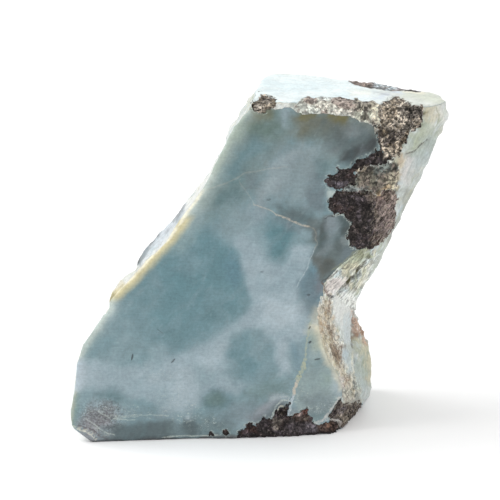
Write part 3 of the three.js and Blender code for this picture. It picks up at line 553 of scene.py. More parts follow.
# Crumbled edge between the front and the top.
crumbOutline = [(37, 57.6), (38.4, 56.8), (39.2, 56.4), (40.4, 56.8), (42.2, 56.7), (44.4, 56.4),
    (46.2, 56.2), (47.2, 55.8), (48.4, 55.2), (49.8, 54.9), (50.6, 54.2), (51, 53), (51.8, 54), (51.6, 56),
    (52, 58), (50.4, 58.6), (49.2, 58.5), (47.8, 59.1), (46.4, 59), (45, 59.5), (43.4, 59.3), (42, 59.6),
    (40.6, 59.3), (39.6, 59.7), (38.6, 59.2), (37.8, 58.4)]
crumbMarks = [
    ("crumbWhite", 0.95, 0.4, crumbOutline),
    ("rindShade", 0.6, 0.5, [(36.4, 59), (39, 58.6), (42, 57.4), (44, 57.2), (44, 56.4), (40, 56.2),
        (37, 57)]),
    ("rindGreen", 0.5, 0.5, [(47.4, 57), (50.4, 57), (50.6, 55), (48.4, 55.2)]),
    ("cream", 0.6, 0.4, [(50, 58.2), (51.8, 58.4), (51.6, 54.4), (50.6, 54.6), (50.4, 56.4)]),
]
crumbClumps = [  # darker lumps of crumbs
    ("clumpBrown", [(39, 59.9), (41.3, 60), (41.2, 58.7), (40.4, 58.2), (39.2, 58.5)]),
    ("clumpBrown", [(43.4, 58.6), (44.4, 59.6), (47.2, 59.6), (47.2, 57.6), (45.6, 57.2), (44.6, 57.8)]),
    ("clumpGrey", [(47, 59.4), (51, 59), (51, 57.5), (49.4, 56.9), (47.4, 57.2)]),
    ("clumpBrown", [(41.8, 57.4), (43.2, 57.3), (43, 56.5), (41.9, 56.5)]),
    ("clumpGrey", [(48.4, 56.3), (50, 56.2), (49.8, 55.3), (48.6, 55.4)]),
    ("clumpGrey", [(50.4, 55.2), (51.3, 54.8), (51.2, 53.2), (50.6, 53.6)]),
]
# Crust on the back edge of the top face.
topCrust = [(46.4, 62.2), (47.4, 63), (48.7, 63.4), (50, 63.2), (51.2, 62.8), (53.3, 62.4), (55, 62.2),
    (57.2, 61.6), (58.6, 60.8), (58.2, 59.9), (56.4, 60.1), (54.8, 60.2), (53, 60.2), (51.2, 60.6),
    (49.7, 61), (48.2, 61.2), (47, 61.6), (46.2, 62)]
topMarks = [
    ("rimLilac", 0.9, 0.35, [(50.6, 59.2), (52.4, 60), (54.6, 60.2), (55.4, 59.6), (53.6, 59.6),
        (52, 58.8)]),
    ("lilacPale", 0.35, 0.2, [(50.4, 60.2), (53.6, 59.9), (53.2, 59.6), (50.2, 59.8)]),
    ("creamWhite", 0.35, 0.4, [(46, 60.6), (50, 60.6), (50, 59.8), (47, 59.6)]),
    ("rindGreen", 0.5, 0.6, [(56.6, 60.2), (60.6, 59.6), (62.6, 58.6), (61.4, 58.2), (58, 58.8),
        (55.4, 59.4)]),
    ("creamWhite", 0.7, 0.4, [(56, 60.8), (59, 60.2), (58.4, 59.6), (56, 60)]),
    ("topBlue", 0.8, 0.8, [(30, 61.6), (38, 62.4), (44, 61.4), (40, 60.6), (33, 60.6)]),
]

# Dark host rock, in crisp patches.
rockOutlines = {
    "tongue": [(42.6, 45.2), (43, 45.8), (43.5, 46.1), (44.1, 46.3), (44.6, 46.6), (44.9, 47.5),
        (45.2, 47.1), (46, 47.1), (46.8, 47.3), (47.2, 47.9), (47.6, 48.5), (48.1, 48.8), (49.2, 49.1),
        (49.7, 49.4), (50.8, 49.9), (51.1, 50.4), (51.6, 50.1), (52, 50.2), (52.4, 49.6), (53.8, 49.4),
        (54.2, 48.6), (52.8, 48.1), (51.8, 47.6), (50.4, 47.7), (49, 47.3), (47.9, 46.9), (47.4, 46.4),
        (47.9, 46), (47.9, 45.2), (47.7, 44.2), (46.4, 44.3), (45.8, 43.9), (45.2, 43.4), (44.3, 43.6),
        (43.8, 44.1), (43, 44.3)],
    "plate": [(44.3, 43.2), (45.5, 43.5), (47, 43.2), (49, 43.3), (50.4, 43), (51.2, 42.2), (52.4, 42.8),
        (53, 43.3), (54.4, 43), (54.9, 42.2), (55, 41), (54.6, 39.5), (54.5, 38), (54.2, 36.5),
        (53.3, 35.3), (52.7, 34.6), (52, 33.8), (51, 33.3), (50.2, 32.8), (49.6, 33.1), (48.5, 33.1),
        (47.7, 33.4), (47.1, 34), (46.6, 34.8), (46.4, 35.8), (47, 36.8), (47.1, 37.6), (46.8, 38.3),
        (46.2, 38.6), (45.9, 39.3), (45, 39.5), (44.4, 39.2), (43.8, 39.9), (43.2, 40.4), (43.1, 41.3),
        (43.5, 42)],
    "topCorner": [(51.2, 57.6), (52, 58.4), (53, 58.9), (54, 59.3), (55.3, 59.1), (56.4, 58.2),
        (57.6, 57.8), (58.8, 57.6), (59, 56.6), (58.6, 55.4), (58.7, 54.4), (58.2, 53.7), (57.4, 53.3),
        (56.6, 53.4), (56.4, 52.2), (55.8, 51), (55.4, 50), (54.9, 49.2), (53.6, 49), (52.3, 49.9),
        (51.7, 51), (51.3, 52.2), (51.2, 53.4), (51.3, 54.4), (51.7, 55), (51.4, 56)],
    "leftCorner": [(30.3, 59.2), (30.6, 59.8), (31.4, 60.5), (32.4, 60.4), (33.4, 59.9), (34.4, 59.4),
        (34.6, 58.6), (34.2, 57.8), (33.2, 57.5), (32.6, 56.9), (31.6, 57.1), (30.6, 57.7), (30.2, 58.4)],
    "foot": [(27.8, -1), (28.1, 0.5), (28.5, 1), (29.1, 1.6), (29.6, 2.2), (30.1, 2.4), (30.7, 2.3),
        (31.2, 2), (31.6, 2.5), (32, 2.7), (32.3, 3.2), (32.7, 3.7), (33, 3.2), (33.5, 3.1), (33.9, 2.8),
        (34.1, 3.4), (34.5, 4), (34.6, 4.7), (35.1, 5), (35.9, 5.2), (36.5, 5.6), (37, 6), (36.9, 5),
        (36.6, 4.2), (36.6, 3.7), (37.1, 3.4), (37.7, 3.6), (38.3, 3.9), (38.8, 4.3), (39.3, 4.6),
        (39.9, 5), (40.3, 4.8), (40.3, 4), (40.5, 3.4), (41, 2.9), (41, 2.2), (41.4, 1.7), (42, 1.6),
        (42.3, 1.9), (42.9, 2), (43.6, 2.4), (44.3, 2.5), (45, 2.2), (45.8, 1.8), (46, 0.8), (45.6, 0),
        (45.4, -1)],
    "heel": [(43.4, 2.8), (43.8, 3.7), (44.3, 4.5), (44.9, 5.3), (45.3, 6), (45.8, 6.4), (46, 5.8),
        (46.4, 5.4), (47.2, 5.6), (47.7, 5.3), (48.2, 5.8), (48.9, 5.8), (49.6, 5), (49.4, 3.8),
        (48.6, 2.4), (47.4, 1.2), (46.4, 0.6), (45.9, 1), (46, 1.7), (46.1, 2.2), (45.6, 2.6),
        (44.6, 2.7)],
    "crumb": [(23.1, 0.4), (23.3, 1.1), (23.8, 1), (24, 0.3)],
    "smallCrumb": [(25.5, 0.9), (25.8, 1.4), (26.4, 0.9), (26.6, 0.4), (26, 0.3)],
}
rockMarks = [
    ("rockMauve", 0.45, 0.9, [(51.2, 43.4), (55.4, 43.6), (55.4, 37), (53.6, 34.8), (52, 34), (51.6, 37),
        (51.2, 40)]),
    ("rockRust", 0.5, 0.6, [(50.9, 43.6), (53.8, 43.6), (53.4, 41), (51.3, 40.6)]),
    ("rockLilacPale", 0.5, 0.25, [(43.8, 45.2), (45.2, 44.9), (46.4, 44.8), (46, 44.3), (44.6, 43.9)]),
    ("rockGrey", 1, 0.6, [(50.6, 58.6), (59.6, 58.4), (59.4, 53.6), (56.6, 52.6), (52.8, 53.4),
        (51, 54.4)]),
    ("rockTan", 0.4, 0.4, [(51.2, 57.4), (53, 60.4), (56, 60.4), (57.4, 57.9)]),
    ("rockDark", 0.75, 0.5, [(55.8, 57.8), (59.4, 57.6), (59.4, 54.2), (57.6, 53.8), (56.4, 55.4)]),
    ("rockTan", 0.35, 0.4, [(52, 56.4), (55.2, 56.4), (56.6, 54.6), (55.2, 54.2), (52.4, 55)]),
    ("rockBrown", 0.9, 0.5, [(51, 53.6), (57, 53.2), (55.9, 50.4), (51.8, 50.8)]),
    ("rockTan", 0.7, 0.4, [(52.3, 50.6), (55.4, 50.8), (55.2, 49), (52.6, 49)]),
    ("rockGrey", 0.75, 0.5, [(30, 60.8), (34.8, 60.4), (34.8, 57.6), (31, 56.8)]),
    ("rockRed", 0.5, 0.4, [(28.4, 0.3), (29.4, 1.9), (31.2, 2), (31.6, 0.6)]),
    ("black", 0.7, 0.2, [(29.2, 1.8), (29.8, 2.6), (30.7, 2.5), (30.3, 1.8)]),
    ("rockLilac", 0.25, 0.4, [(31.4, 2.4), (33.8, 2.8), (33.8, 1), (31.6, 1)]),
    ("rockGrey", 0.45, 0.3, [(34, 3.6), (35.8, 3.4), (35.7, 2), (34, 2)]),
    ("rockTan", 0.9, 0.12, [(34.1, 1.9), (34.8, 2), (35.1, 1.1), (34.3, 1)]),
    ("black", 0.9, 0.2, [(34, 0.9), (35.2, 0.9), (35.6, 1.6), (36.2, 1), (36.4, -0.4), (33.8, -0.4)]),
    ("black", 0.85, 0.2, [(34.4, 4.1), (34.9, 5.1), (36.9, 5.2), (36.8, 3.8), (36.2, 3.1), (35, 3.5)]),
    ("dullTealDark", 0.8, 0.25, [(34.9, 5.2), (37, 6.4), (37, 5.3), (36, 5)]),
    ("rockLilac", 0.3, 0.4, [(36.2, 2), (39.4, 2.2), (39.4, 0.4), (36.2, 0.4)]),
    ("rockLilacPale", 0.55, 0.35, [(39.5, 2.1), (41, 2.2), (41.8, 1), (41.4, 0), (39.7, 0.1)]),
    ("rockRust", 0.8, 0.35, [(37.2, 3.6), (40.2, 5.1), (40.8, 3.2), (40.2, 2.3), (38, 2.6)]),
    ("rockMauve", 0.6, 0.3, [(38, 3.4), (38.8, 4.2), (39.4, 4.2), (39.3, 3.1)]),
    ("rockRed", 0.9, 0.2, [(39.2, 4.5), (40, 4.6), (40, 3.7), (39.3, 3.6)]),
    ("rockTan", 0.6, 0.1, [(39.4, 3.1), (40.3, 3.2), (40.3, 2.8), (39.5, 2.7)]),
    ("rockRust", 0.7, 0.4, [(41.9, 1.7), (44.2, 2.3), (45.6, 1.3), (45, 0.2), (42.1, 0.2)]),
    ("brown", 0.3, 0.3, [(43.3, 1.9), (44.3, 2), (44.3, 1.2), (43.3, 1.1)]),
    ("rockBrown", 0.5, 0.4, [(43.6, 3), (45, 5.6), (49.6, 6), (49.4, 3), (46.4, 0.4)]),
    ("rockLilacPale", 0.6, 0.3, [(45, 4.3), (45.8, 5), (46.6, 4.8), (46.4, 3.4), (45.6, 3.3)]),
    ("black", 0.8, 0.2, [(43.7, 3.4), (44.6, 4.4), (45.2, 4), (45.4, 3.1), (44.2, 2.9)]),
    ("rockDark", 0.5, 0.5, [(44, 3.4), (45.8, 5.2), (49, 5.6), (48.4, 3.4), (46.4, 1.2)]),
    ("rockGrey", 0.6, 0.35, [(45.6, 5.4), (46.4, 6), (49.4, 6.2), (48.6, 5.2), (46.6, 5)]),
    ("rockTan", 0.4, 0.25, [(46, 3.3), (47, 3.3), (46.8, 2.2), (46.1, 2.3)]),
    ("rockDark", 0.35, 0.5, [(28.5, 0.4), (30, 2), (34, 4.6), (36.4, 4.8), (37.6, 3.2), (39.4, 3.4),
        (41, 1.4), (40, 0.3)]),
    # painted contact shadow: a black line along the foot of the dark rock
    ("black", 0.9, 0.12, [(23, 0.2), (30, 0.5), (41, 0.45), (45.2, 0.5), (46, 0.3), (46, -1), (23, -1)]),
]

# Where the plate of dark rock is scratched with pale streaks, and where the face is frosted.
rockStreaks = [
    [(50.6, 43.6), (55.4, 43.6), (55.2, 37), (53.4, 34.4), (51.4, 33), (50, 36), (50.2, 40)],
    [(43.4, 2.8), (44.8, 5.6), (46, 6.6), (49.6, 6), (49.4, 3.6), (46.6, 0.6), (45.6, 2.4)],
]
speckledCorner = [(0.9, 3), (1.2, 5.6), (2.6, 7.4), (6.4, 7.8), (8.8, 6.2), (8.4, 3.6), (6.6, 1.4),
    (4.4, 0.6), (2.6, 1.4)]
frostedPatches = [
    [(38.6, 5.2), (41, 6), (44.2, 6.8), (44.6, 4.8), (42.4, 3), (41, 3.4)],
    [(37.8, 8.4), (39.8, 8.2), (40.8, 5.8), (39.4, 4.8), (37.8, 5.2)],
    [(1, 3), (1.6, 6.4), (4, 7.6), (8.2, 6.8), (16, 5.6), (16, 4), (9.6, 3.6), (5, 2.6), (3, 1.4)],
    [(36.6, 5.4), (36.9, 8.4), (38.2, 10), (39.2, 9), (39.9, 7.4), (39.8, 5.2), (38.4, 4.8)],
    [(33.2, 5.8), (34.6, 7.6), (37, 7.8), (36.8, 6), (34.6, 5)],
    [(40.6, 2.4), (42.6, 4), (45, 7), (46.4, 7), (45, 5.4), (43.4, 3), (41.6, 1.6)],
    [(12.6, 13.4), (15, 13.6), (20, 8), (26, 2), (22, 1), (16, 4)],
]

# Fine lines on the stone: colour, strength, half width, depth of the groove in mm, and the line.
lineMarks = [
    ("veinCream", 0.55, 0.12, -0.06, [(34.6, 39.6), (36, 39), (37, 38.5), (38, 38), (39, 37.6),
        (40, 37.4)]),
    ("veinCream", 0.4, 0.08, 0, [(31, 41.3), (32.4, 40.9), (33.6, 40.3), (34.6, 39.6)]),
    ("veinCream", 0.16, 0.08, 0.05, [(40, 37.4), (40.8, 36.9), (41.3, 36), (41.1, 35.2), (41.6, 34.3),
        (41, 33.4)]),
    ("bright", 0.6, 0.07, 0, [(41, 33.4), (40.6, 32.4), (40.2, 31.4), (39.8, 30), (39.3, 29), (38.6, 28),
        (38.2, 27)]),
    ("veinCream", 0.16, 0.09, 0, [(22.4, 44), (24.4, 44.6), (26.2, 45.2), (28, 46), (29.4, 46.9),
        (31.6, 47.2), (34, 47.6), (36.2, 47.8)]),
    ("veinCream", 0.16, 0.07, 0, [(28.2, 46), (28.6, 45), (29.4, 44), (30, 43), (30.8, 41.8)]),
    ("veinGreen", 0.6, 0.16, 0.04, [(40.5, 20.4), (40.2, 19.2), (40, 18), (39.8, 16.6), (39.7, 15),
        (39.6, 13.6)]),
    ("veinGreen", 0.85, 0.36, 0.04, [(39.6, 13.6), (39.3, 12.2), (38.8, 11), (38.3, 10)]),
    ("veinCream", 0.8, 0.22, 0.06, [(38.3, 10), (38, 9), (37.8, 8), (37.6, 7.2)]),
    ("rimLilac", 0.7, 0.24, 0, [(37.6, 7.2), (37.3, 6.2), (37.1, 5.2), (36.8, 4.3), (36.6, 3.3)]),
    ("rimPale", 0.6, 0.13, 0, [(34.1, 3.6), (34.3, 4.3), (34.4, 5), (34.8, 5.6), (35.4, 6.2), (36.1, 6.5),
        (36.9, 6.3)]),
    ("pinkWhite", 0.45, 0.1, 0, [(40.8, -0.1), (41.4, 0.1), (41.9, 0.5), (42, 1.1), (41.7, 1.6)]),
    ("rimPale", 0.35, 0.08, 0, [(6, 4.7), (8.2, 4.5), (11, 4.6), (14, 4.5), (16, 4.3)]),
    ("rimPale", 0.4, 0.07, 0, [(4.6, 5.4), (6.4, 4.1), (8, 3.9), (10.6, 3.7)]),
    ("rimPale", 0.5, 0.08, 0.05, [(2.2, 4.2), (3.4, 3.4), (4.6, 2.2), (6, 1.4), (7, 1.2)]),
    ("lilacDark", 0.7, 0.12, 0.1, [(1, 3), (2.4, 2.6), (3.6, 1.9), (4.4, 1), (5.6, 0.4)]),
    ("creamWhite", 0.6, 0.1, -0.1, [(0.2, 2.9), (1.2, 2.3), (2.2, 1.9), (3.2, 1.1), (3.8, 0.4)]),
    ("rimPale", 0.6, 0.1, 0, [(15.4, 0.35), (18, 0.5), (21, 0.4), (25, 0.5)]),
    ("pinkWhite", 0.4, 0.2, -0.1, [(42.6, 2.3), (43.6, 2.6), (44.6, 2.6), (45.4, 2.5), (46, 2.1),
        (46.1, 1.4), (46, 0.9)]),
    ("pinkWhite", 0.6, 0.2, -0.1, [(41.2, 1.8), (42, 2.2), (42.8, 2.7), (43.4, 3.3), (43.9, 4.1),
        (44.4, 4.9), (45, 5.7), (45.6, 6.6)]),
    ("black", 0.8, 0.1, 0.1, [(42.9, 38.7), (43.4, 39.1), (44.2, 39)]),
    ("rindOlive", 0.5, 0.1, 0, [(44, 29.6), (45.2, 30.4), (46.4, 31.4), (47.6, 32.6), (48.6, 33.2)]),
    ("rimPale", 0.6, 0.14, 0, [(44.4, 39.3), (45.2, 39.4), (46.2, 38.9), (47, 38.2), (47.2, 37.2),
        (46.8, 36.2), (46.6, 35.2), (46.8, 34.2), (47.4, 33.4)]),
    ("cream", 0.55, 0.14, -0.05, [(42.3, 18), (42.9, 15.6), (43.8, 13.8), (44.6, 12.4), (45.3, 11)]),
    ("oliveDark", 0.75, 0.14, 0.35, [(50.2, 31.6), (49.4, 30.5), (48.6, 29.4), (47.4, 28), (46.4, 26.8),
        (45.6, 26), (44.8, 25.3)]),
    ("shadow", 0.7, 0.12, 0.2, [(46, 29.7), (45.2, 29.5), (44.2, 28.7), (43.2, 28.1), (42.4, 27.7)]),
    ("brown", 0.8, 0.12, 0.25, [(42.3, 27.4), (42.8, 26.6), (43.2, 25.6), (43.3, 25)]),
    ("black", 0.9, 0.22, 0.3, [(43.5, 25), (43.9, 24.9), (44.3, 24.9)]),
    ("brown", 0.7, 0.12, 0.15, [(43.6, 24.4), (43.6, 23), (43.5, 22)]),
    ("shadow", 0.8, 0.13, 0.3, [(56.4, 49.3), (57.6, 49.8), (58.6, 50.5), (59.3, 51.2), (59.7, 51.8)]),
    ("rindOlive", 0.5, 0.09, 0.1, [(61, 57.4), (61.6, 56), (61.4, 54.6), (61, 53.4)]),
    ("shadow", 0.5, 0.14, 0.45, [(47.8, 22), (47.6, 19), (47.8, 16), (48.2, 13), (48, 10), (48.6, 8)]),
    ("creamWhite", 0.6, 0.1, 0, [(47.5, 14), (47.7, 12.4), (47.9, 11)]),
]

# Small pits sawn open: x, z, turn in degrees, length and width in mm, strength.
pitMarks = [
    (10.3, 15.1, 78, 0.62, 0.15, 0.8),
    (17.2, 14.2, 50, 0.55, 0.13, 0.6),
    (33.3, 42.2, 8, 0.42, 0.2, 0.4),
    (40.1, 25.3, 15, 0.3, 0.2, 0.6),
    (41.7, 13.6, 6, 0.55, 0.15, 0.7),
    (40.4, 16.8, 40, 0.3, 0.2, 0.85),
    (40.3, 19.4, 60, 0.3, 0.14, 0.8),
    (38.6, 10.8, 30, 0.16, 0.12, 0.6),
    (37.4, 7, 70, 0.26, 0.12, 0.6),
    (15, 19.6, -40, 0.8, 0.1, 0.3),
    (32.2, 29.6, 0, 0.3, 0.1, 0.4),
]

# Where the broken side has its own roughness, drawn where its layers meet the front.
roughAreas = {
    "folds": [(42, 28.4), (44.4, 29.9), (46, 31.5), (48, 33.3), (50.4, 33.2), (52, 32), (50.6, 28.6),
        (48.6, 25), (47.6, 22), (45, 24.8), (42.8, 24.8)],
    "rust": [(42.2, 24.9), (43.8, 25), (44.2, 22), (44.6, 19.8), (46, 17.4), (46.2, 14), (47, 11.6),
        (48.6, 10), (49.2, 7.4), (48.6, 6.2), (47, 6), (46, 6.6), (45.9, 9), (45.3, 11), (44.2, 12.8),
        (43.2, 14.6), (42.5, 17), (42, 18.8), (41.9, 20.6), (41.6, 22.6)],
    "bulge": [(47.6, 22.4), (48.8, 20.4), (50.6, 16.4), (49.6, 16), (48.7, 17.8), (48, 18), (47.5, 20)],
}

# Where the front face gives way to the broken flank, from the base up.
flankEdge = [(46.2, 0), (46.2, 6.2), (45.8, 9), (45, 11.3), (43.6, 13.5), (42.4, 17), (41.9, 19.2),
    (41.8, 22), (42.6, 24.8), (42.6, 27.2), (44, 28.8), (45.2, 30), (46.6, 31.2), (48.2, 32.8),
    (50.4, 33.4), (53, 36), (53.8, 43), (53.8, 49), (55, 51), (56, 54), (57.4, 57), (58, 58.4)]

# Patches of host rock on the facet behind the right-hand ridge.
rearRock = [
    [(47, 60), (60, 60), (58, 56.2), (54, 55.4), (50, 57)],
    [(46, 30), (51, 33), (52, 27), (49, 22), (46, 25)],
]


def tintOf(name):
    return np.array(linear(name)[:3])


def allOver(name, count):
    return np.tile(tintOf(name), (count, 1))


def layColour(tint, amount, name):
    tint += (tintOf(name) - tint) * np.clip(amount, 0, 1)[:, None]


def measureZones(places, normals):  # how deep each place lies in each kind of surface
    x, y, z = places.T
    ny = normals[:, 1]
    spots = layerPlaces(places)
    band = slab["sawnBand"]
    front = np.maximum(fade(-y, -0.55, -0.35), fade(-ny, 0.93, 0.97) * (y < 1.6))
    rear = fade(y, slab["thickness"] - 0.5, slab["thickness"] - 0.3)
    top = fade(z - topAt(x), -0.4, -0.2)
    base = fade(-z, -2 * band, -band)
    broken = 1 - np.clip(front + rear + top + base, 0, 1)
    shown = fade(-ny, -0.12, 0.1)  # looks towards the front
    zones = {"topFace": top, "shown": shown}

    crisp = drifted(spots, places, 0.22, 0.9, 4.4)
    rock = insideAny(crisp, rockOutlines.values())
    rock = np.where(shown > 0.5, rock, np.minimum(rock, -2.0))
    behind = insideAny(drifted(places[:, ::2], places, 0.5, 2.2, 6.1), rearRock)
    zones["hostRock"] = rock = np.where((ny > 0.1) & (broken > 0.5), np.maximum(rock, behind), rock)
    areas = {"crumb": crumbOutline, "pocket": pocketOutline, **roughAreas}
    for name, outline in areas.items():
        zones[name] = np.minimum(insideDistance(crisp, outline), shown * 9 - 1)
    zones["topCrust"] = np.minimum(insideDistance(drifted(spots, places, 0.2, 1.4, 7.7), topCrust), z - 56)
    zones["clumped"] = clumped = drifted(spots, places, 0.4, 0.8, 5.9)
    clump = insideAny(clumped, [outline for name, outline in crumbClumps])
    zones["clump"] = np.maximum(clump, np.minimum(insideDistance(clumped, pocketOutline), 0))
    torn = np.maximum.reduce([zones[name] for name in ("crumb", "pocket", "topCrust", "rust")])
    flank = fade(spots[:, 0] - edgeAt(flankEdge, spots[:, 1]), -0.2, 0.2) * (1 - top) * (1 - base) * (y < 2)
    zones["broken"] = np.maximum.reduce([broken, fade(torn, -0.2, 0.2), flank])

    rubble = insideAny(spots, [rockOutlines[name] for name in ("topCorner", "leftCorner")])
    zones["grainy"] = np.maximum(fade(rubble, -0.5, 0.5), 0.35 * zones["broken"] * fade(rock, -0.4, 0.4))
    zones["streaky"] = fade(insideAny(spots, rockStreaks), -0.6, 0.6)
    zones["speckled"] = fade(insideDistance(spots, speckledCorner), -1.2, 1.4)
    zones["frosted"] = fade(insideAny(spots, frostedPatches), -0.9, 0.9)

    wavering = drifted(spots, places, 0.14, 0.9, 9.2)
    reach = np.full(len(x), measured["far"])
    zones["lineSide"] = reach.copy()
    zones["lineTint"] = np.zeros((len(x), 3))
    for name in ("lineWidth", "lineStrength", "lineDepth"):
        zones[name] = np.zeros(len(x))
    for colour, strength, halfWidth, depth, line in lineMarks:
        signed, near = lineDistances(wavering, line)
        closer = near - halfWidth < reach
        reach = np.minimum(reach, near - halfWidth)
        zones["lineSide"][closer] = signed[closer]
        zones["lineWidth"][closer] = halfWidth
        zones["lineStrength"][closer] = strength
        zones["lineDepth"][closer] = depth
        zones["lineTint"][closer] = tintOf(colour)
    zones["lineReach"] = np.where(shown > 0.5, reach, measured["far"])
    return zones


def paintZones(places, zones):
    x, y, z = places.T
    count, shown = len(x), zones["shown"]
    spots = layerPlaces(places)
    across = spots[:, 0]
    ragged = clouds(places, 1.7, 4, 3.7)
    raggedFine = clouds(places, 0.75, 3, 8.8)
    blotches = clouds(places, 5.5, 4, 1.3)

    def layMarks(tint, at, marks, where, wobble):
        for name, strength, softness, outline in marks:
            inside = insideDistance(at, outline) + softness * wobble * (ragged + 0.6 * raggedFine)
            layColour(tint, strength * fade(inside, -softness, softness) * where, name)

    # the front pattern runs through to the back, where it has drifted
    through = drifted(np.stack([x, 5 + 0.88 * z], 1), places, 3.4, 11, 5.2)
    soft = drifted(np.where((y < 12)[:, None], spots, through), places, 0.6, 3.6, 2.1)
    wisps = fibres(driftedPlaces(places, 1.5, 6.0), (0.62, 0.05, 0.78), 9.0, 2.4, 3, 2.2)
    face = allOver("larimar", count)
    layColour(face, 0.3 * fade(blotches, 0.0, 0.5), "pale")
    layColour(face, 0.35 * fade(-blotches, 0.05, 0.5), "deep")
    layMarks(face, soft, faceClouds, 1.0, 0.5)
    layMarks(face, spots, lensMarks, 1.0, 0.6)
    layColour(face, 0.12 * fade(wisps, 0.1, 0.6), "pale")
    layColour(face, 0.12 * fade(-wisps, 0.1, 0.6), "deep")
    layColour(face, 0.11 * (1 - fade(z, 8, 34)), "bright")
    layColour(face, 0.1 * fade(z, 34, 50), "purpleGrey")
    # the rim's own colour near the left edge, with painted light along the lit edge
    rim = lineDistances(places[:, ::2], leftEdge)[1] + 0.2 * ragged + 0.12 * raggedFine
    for name, strength, full, reach, low, high in rimMarks:
        within = fade(z, low - 0.8, low + 0.8) * fade(-z, -high - 0.8, -high + 0.8)
        layColour(face, strength * within * (1 - fade(rim, full, reach)) * (y < 3), name)

    streaks = fibres(places, (1, -0.05, 0), 11, 0.9, 4, 5.5)
    topRim = np.minimum(y, slab["thickness"] - y) + 0.5 * ragged
    top = allOver("topWhite", count)
    layColour(top, 0.6 * fade(streaks, 0.05, 0.6), "topBlue")
    layColour(top, 0.6 * fade(blotches, 0.0, 0.5), "topBlue")
    layColour(top, 0.5 * (1 - fade(topRim, 0.3, 1.6)), "topCream")
    layColour(top, 0.7 * fade(x + 0.8 * ragged, 50, 56), "topCream")
    layMarks(top, drifted(spots, places, 0.3, 1.5, 2.6), topMarks, 1.0, 1.2)
    face += (top - face) * zones["topFace"][:, None]

    rind = allOver("rind", count)
    layColour(rind, 0.75 * fade(clouds(places, 3.4, 3, 0.4), 0.0, 0.4), "rindBlue")
    layColour(rind, 0.75 * fade(fibres(places, (0.4, 0.1, 0.9), 6, 1.2, 3, 6.6), 0.1, 0.45), "rindGreen")
    layColour(rind, 0.6 * fade(clouds(places, 2.3, 3, 4.9), 0.15, 0.5), "cream")
    layColour(rind, 0.7 * fade(-clouds(places, 2.8, 3, 7.3), 0.1, 0.45), "rindWhite")
    layMarks(rind, drifted(spots, places, 0.35, 1.2, 6.2), flankMarks, shown, 1.3)
    # the left side's rind colours, with painted shade on the lumps
    leftSide = onLeft(places) * (1 - fade(y + 5 * ragged, 8, 12))
    layMarks(rind, drifted(spots, places, 0.12, 0.8, 3.9), leftMarks, leftSide, 0.8)
    layMarks(rind, drifted(spots, places, 0.25, 1.2, 1.9), pocketMarks + crumbMarks, shown, 0.8)
    for name, outline in crumbClumps:
        layColour(rind, 0.9 * fade(insideDistance(zones["clumped"], outline), -0.2, 0.2), name)
    crust = fade(zones["topCrust"], -0.15, 0.15)
    crustRim = 1 - fade(zones["topCrust"] + 0.3 * raggedFine, 0.05, 0.3)
    layColour(rind, crust, "lilacPale")
    layColour(rind, crust * fade(-across + ragged, -50.6, -49.6), "clumpBrown")
    layColour(rind, 0.6 * crust * fade(across + ragged, 50.4, 51.2) * fade(-across, -54.6, -54), "rindBlue")
    layColour(rind, 0.85 * crust * crustRim, "shadow")
    layColour(rind, 0.8 * crust * fade(across, 54.4, 55.2), "rockBrown")

    rock = allOver("rockDark", count)
    layColour(rock, 0.6 * fade(clouds(places, 1.6, 4, 2.9), 0.05, 0.4), "black")
    layColour(rock, 0.15 * fade(clouds(places, 2.4, 3, 5.8), 0.15, 0.5), "rockRed")
    layMarks(rock, spots, rockMarks, 1.0, 1.2)
    rock = np.where((shown > 0.5)[:, None], rock, tintOf("rockBrown"))
    return {"faceTint": face, "rindTint": rind, "rockTint": rock, "lineTint": zones["lineTint"]}


def pick(piece):
    bpy.ops.object.select_all(action="DESELECT")
    piece.select_set(True)
    bpy.context.view_layer.objects.active = piece


def copyOfNode(name, newName):
    pick(frame["nodes"][name])
    bpy.ops.object.duplicate()
    piece = bpy.context.active_object
    piece.name = newName
    piece.parent = None
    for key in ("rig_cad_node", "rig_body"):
        if key in piece:
            del piece[key]
    bpy.ops.object.mode_set(mode="EDIT")
    bpy.ops.mesh.select_all(action="SELECT")
    bpy.ops.mesh.remove_doubles(threshold=1e-6)
    bpy.ops.mesh.normals_make_consistent(inside=False)
    bpy.ops.object.mode_set(mode="OBJECT")
    return piece


def readMesh(piece):
    vertices = piece.data.vertices
    found = []
    for name in ("co", "normal"):
        values = np.empty(len(vertices) * 3, np.float32)
        vertices.foreach_get(name, values)
        found.append(values.reshape(-1, 3).astype(float))
    return (*found, slabPlaces(found[0]))


def moveVertices(piece, co):
    piece.data.vertices.foreach_set("co", co.astype(np.float32).ravel())
    piece.data.update()


def selectVertices(piece, chosen):
    bpy.ops.object.mode_set(mode="EDIT")
    bpy.ops.mesh.select_mode(type="VERT")
    bpy.ops.mesh.select_all(action="DESELECT")
    bpy.ops.object.mode_set(mode="OBJECT")
    piece.data.vertices.foreach_set("select", chosen)
    bpy.ops.object.mode_set(mode="EDIT")


stone = copyOfNode("larimar_slice", "larimar_stone")
remesh = stone.modifiers.new("even mesh", "REMESH")
remesh.mode = "VOXEL"
remesh.voxel_size = slab["voxel"] / 1000
bpy.ops.object.modifier_apply(modifier=remesh.name)
print("stone remeshed:", len(stone.data.vertices))

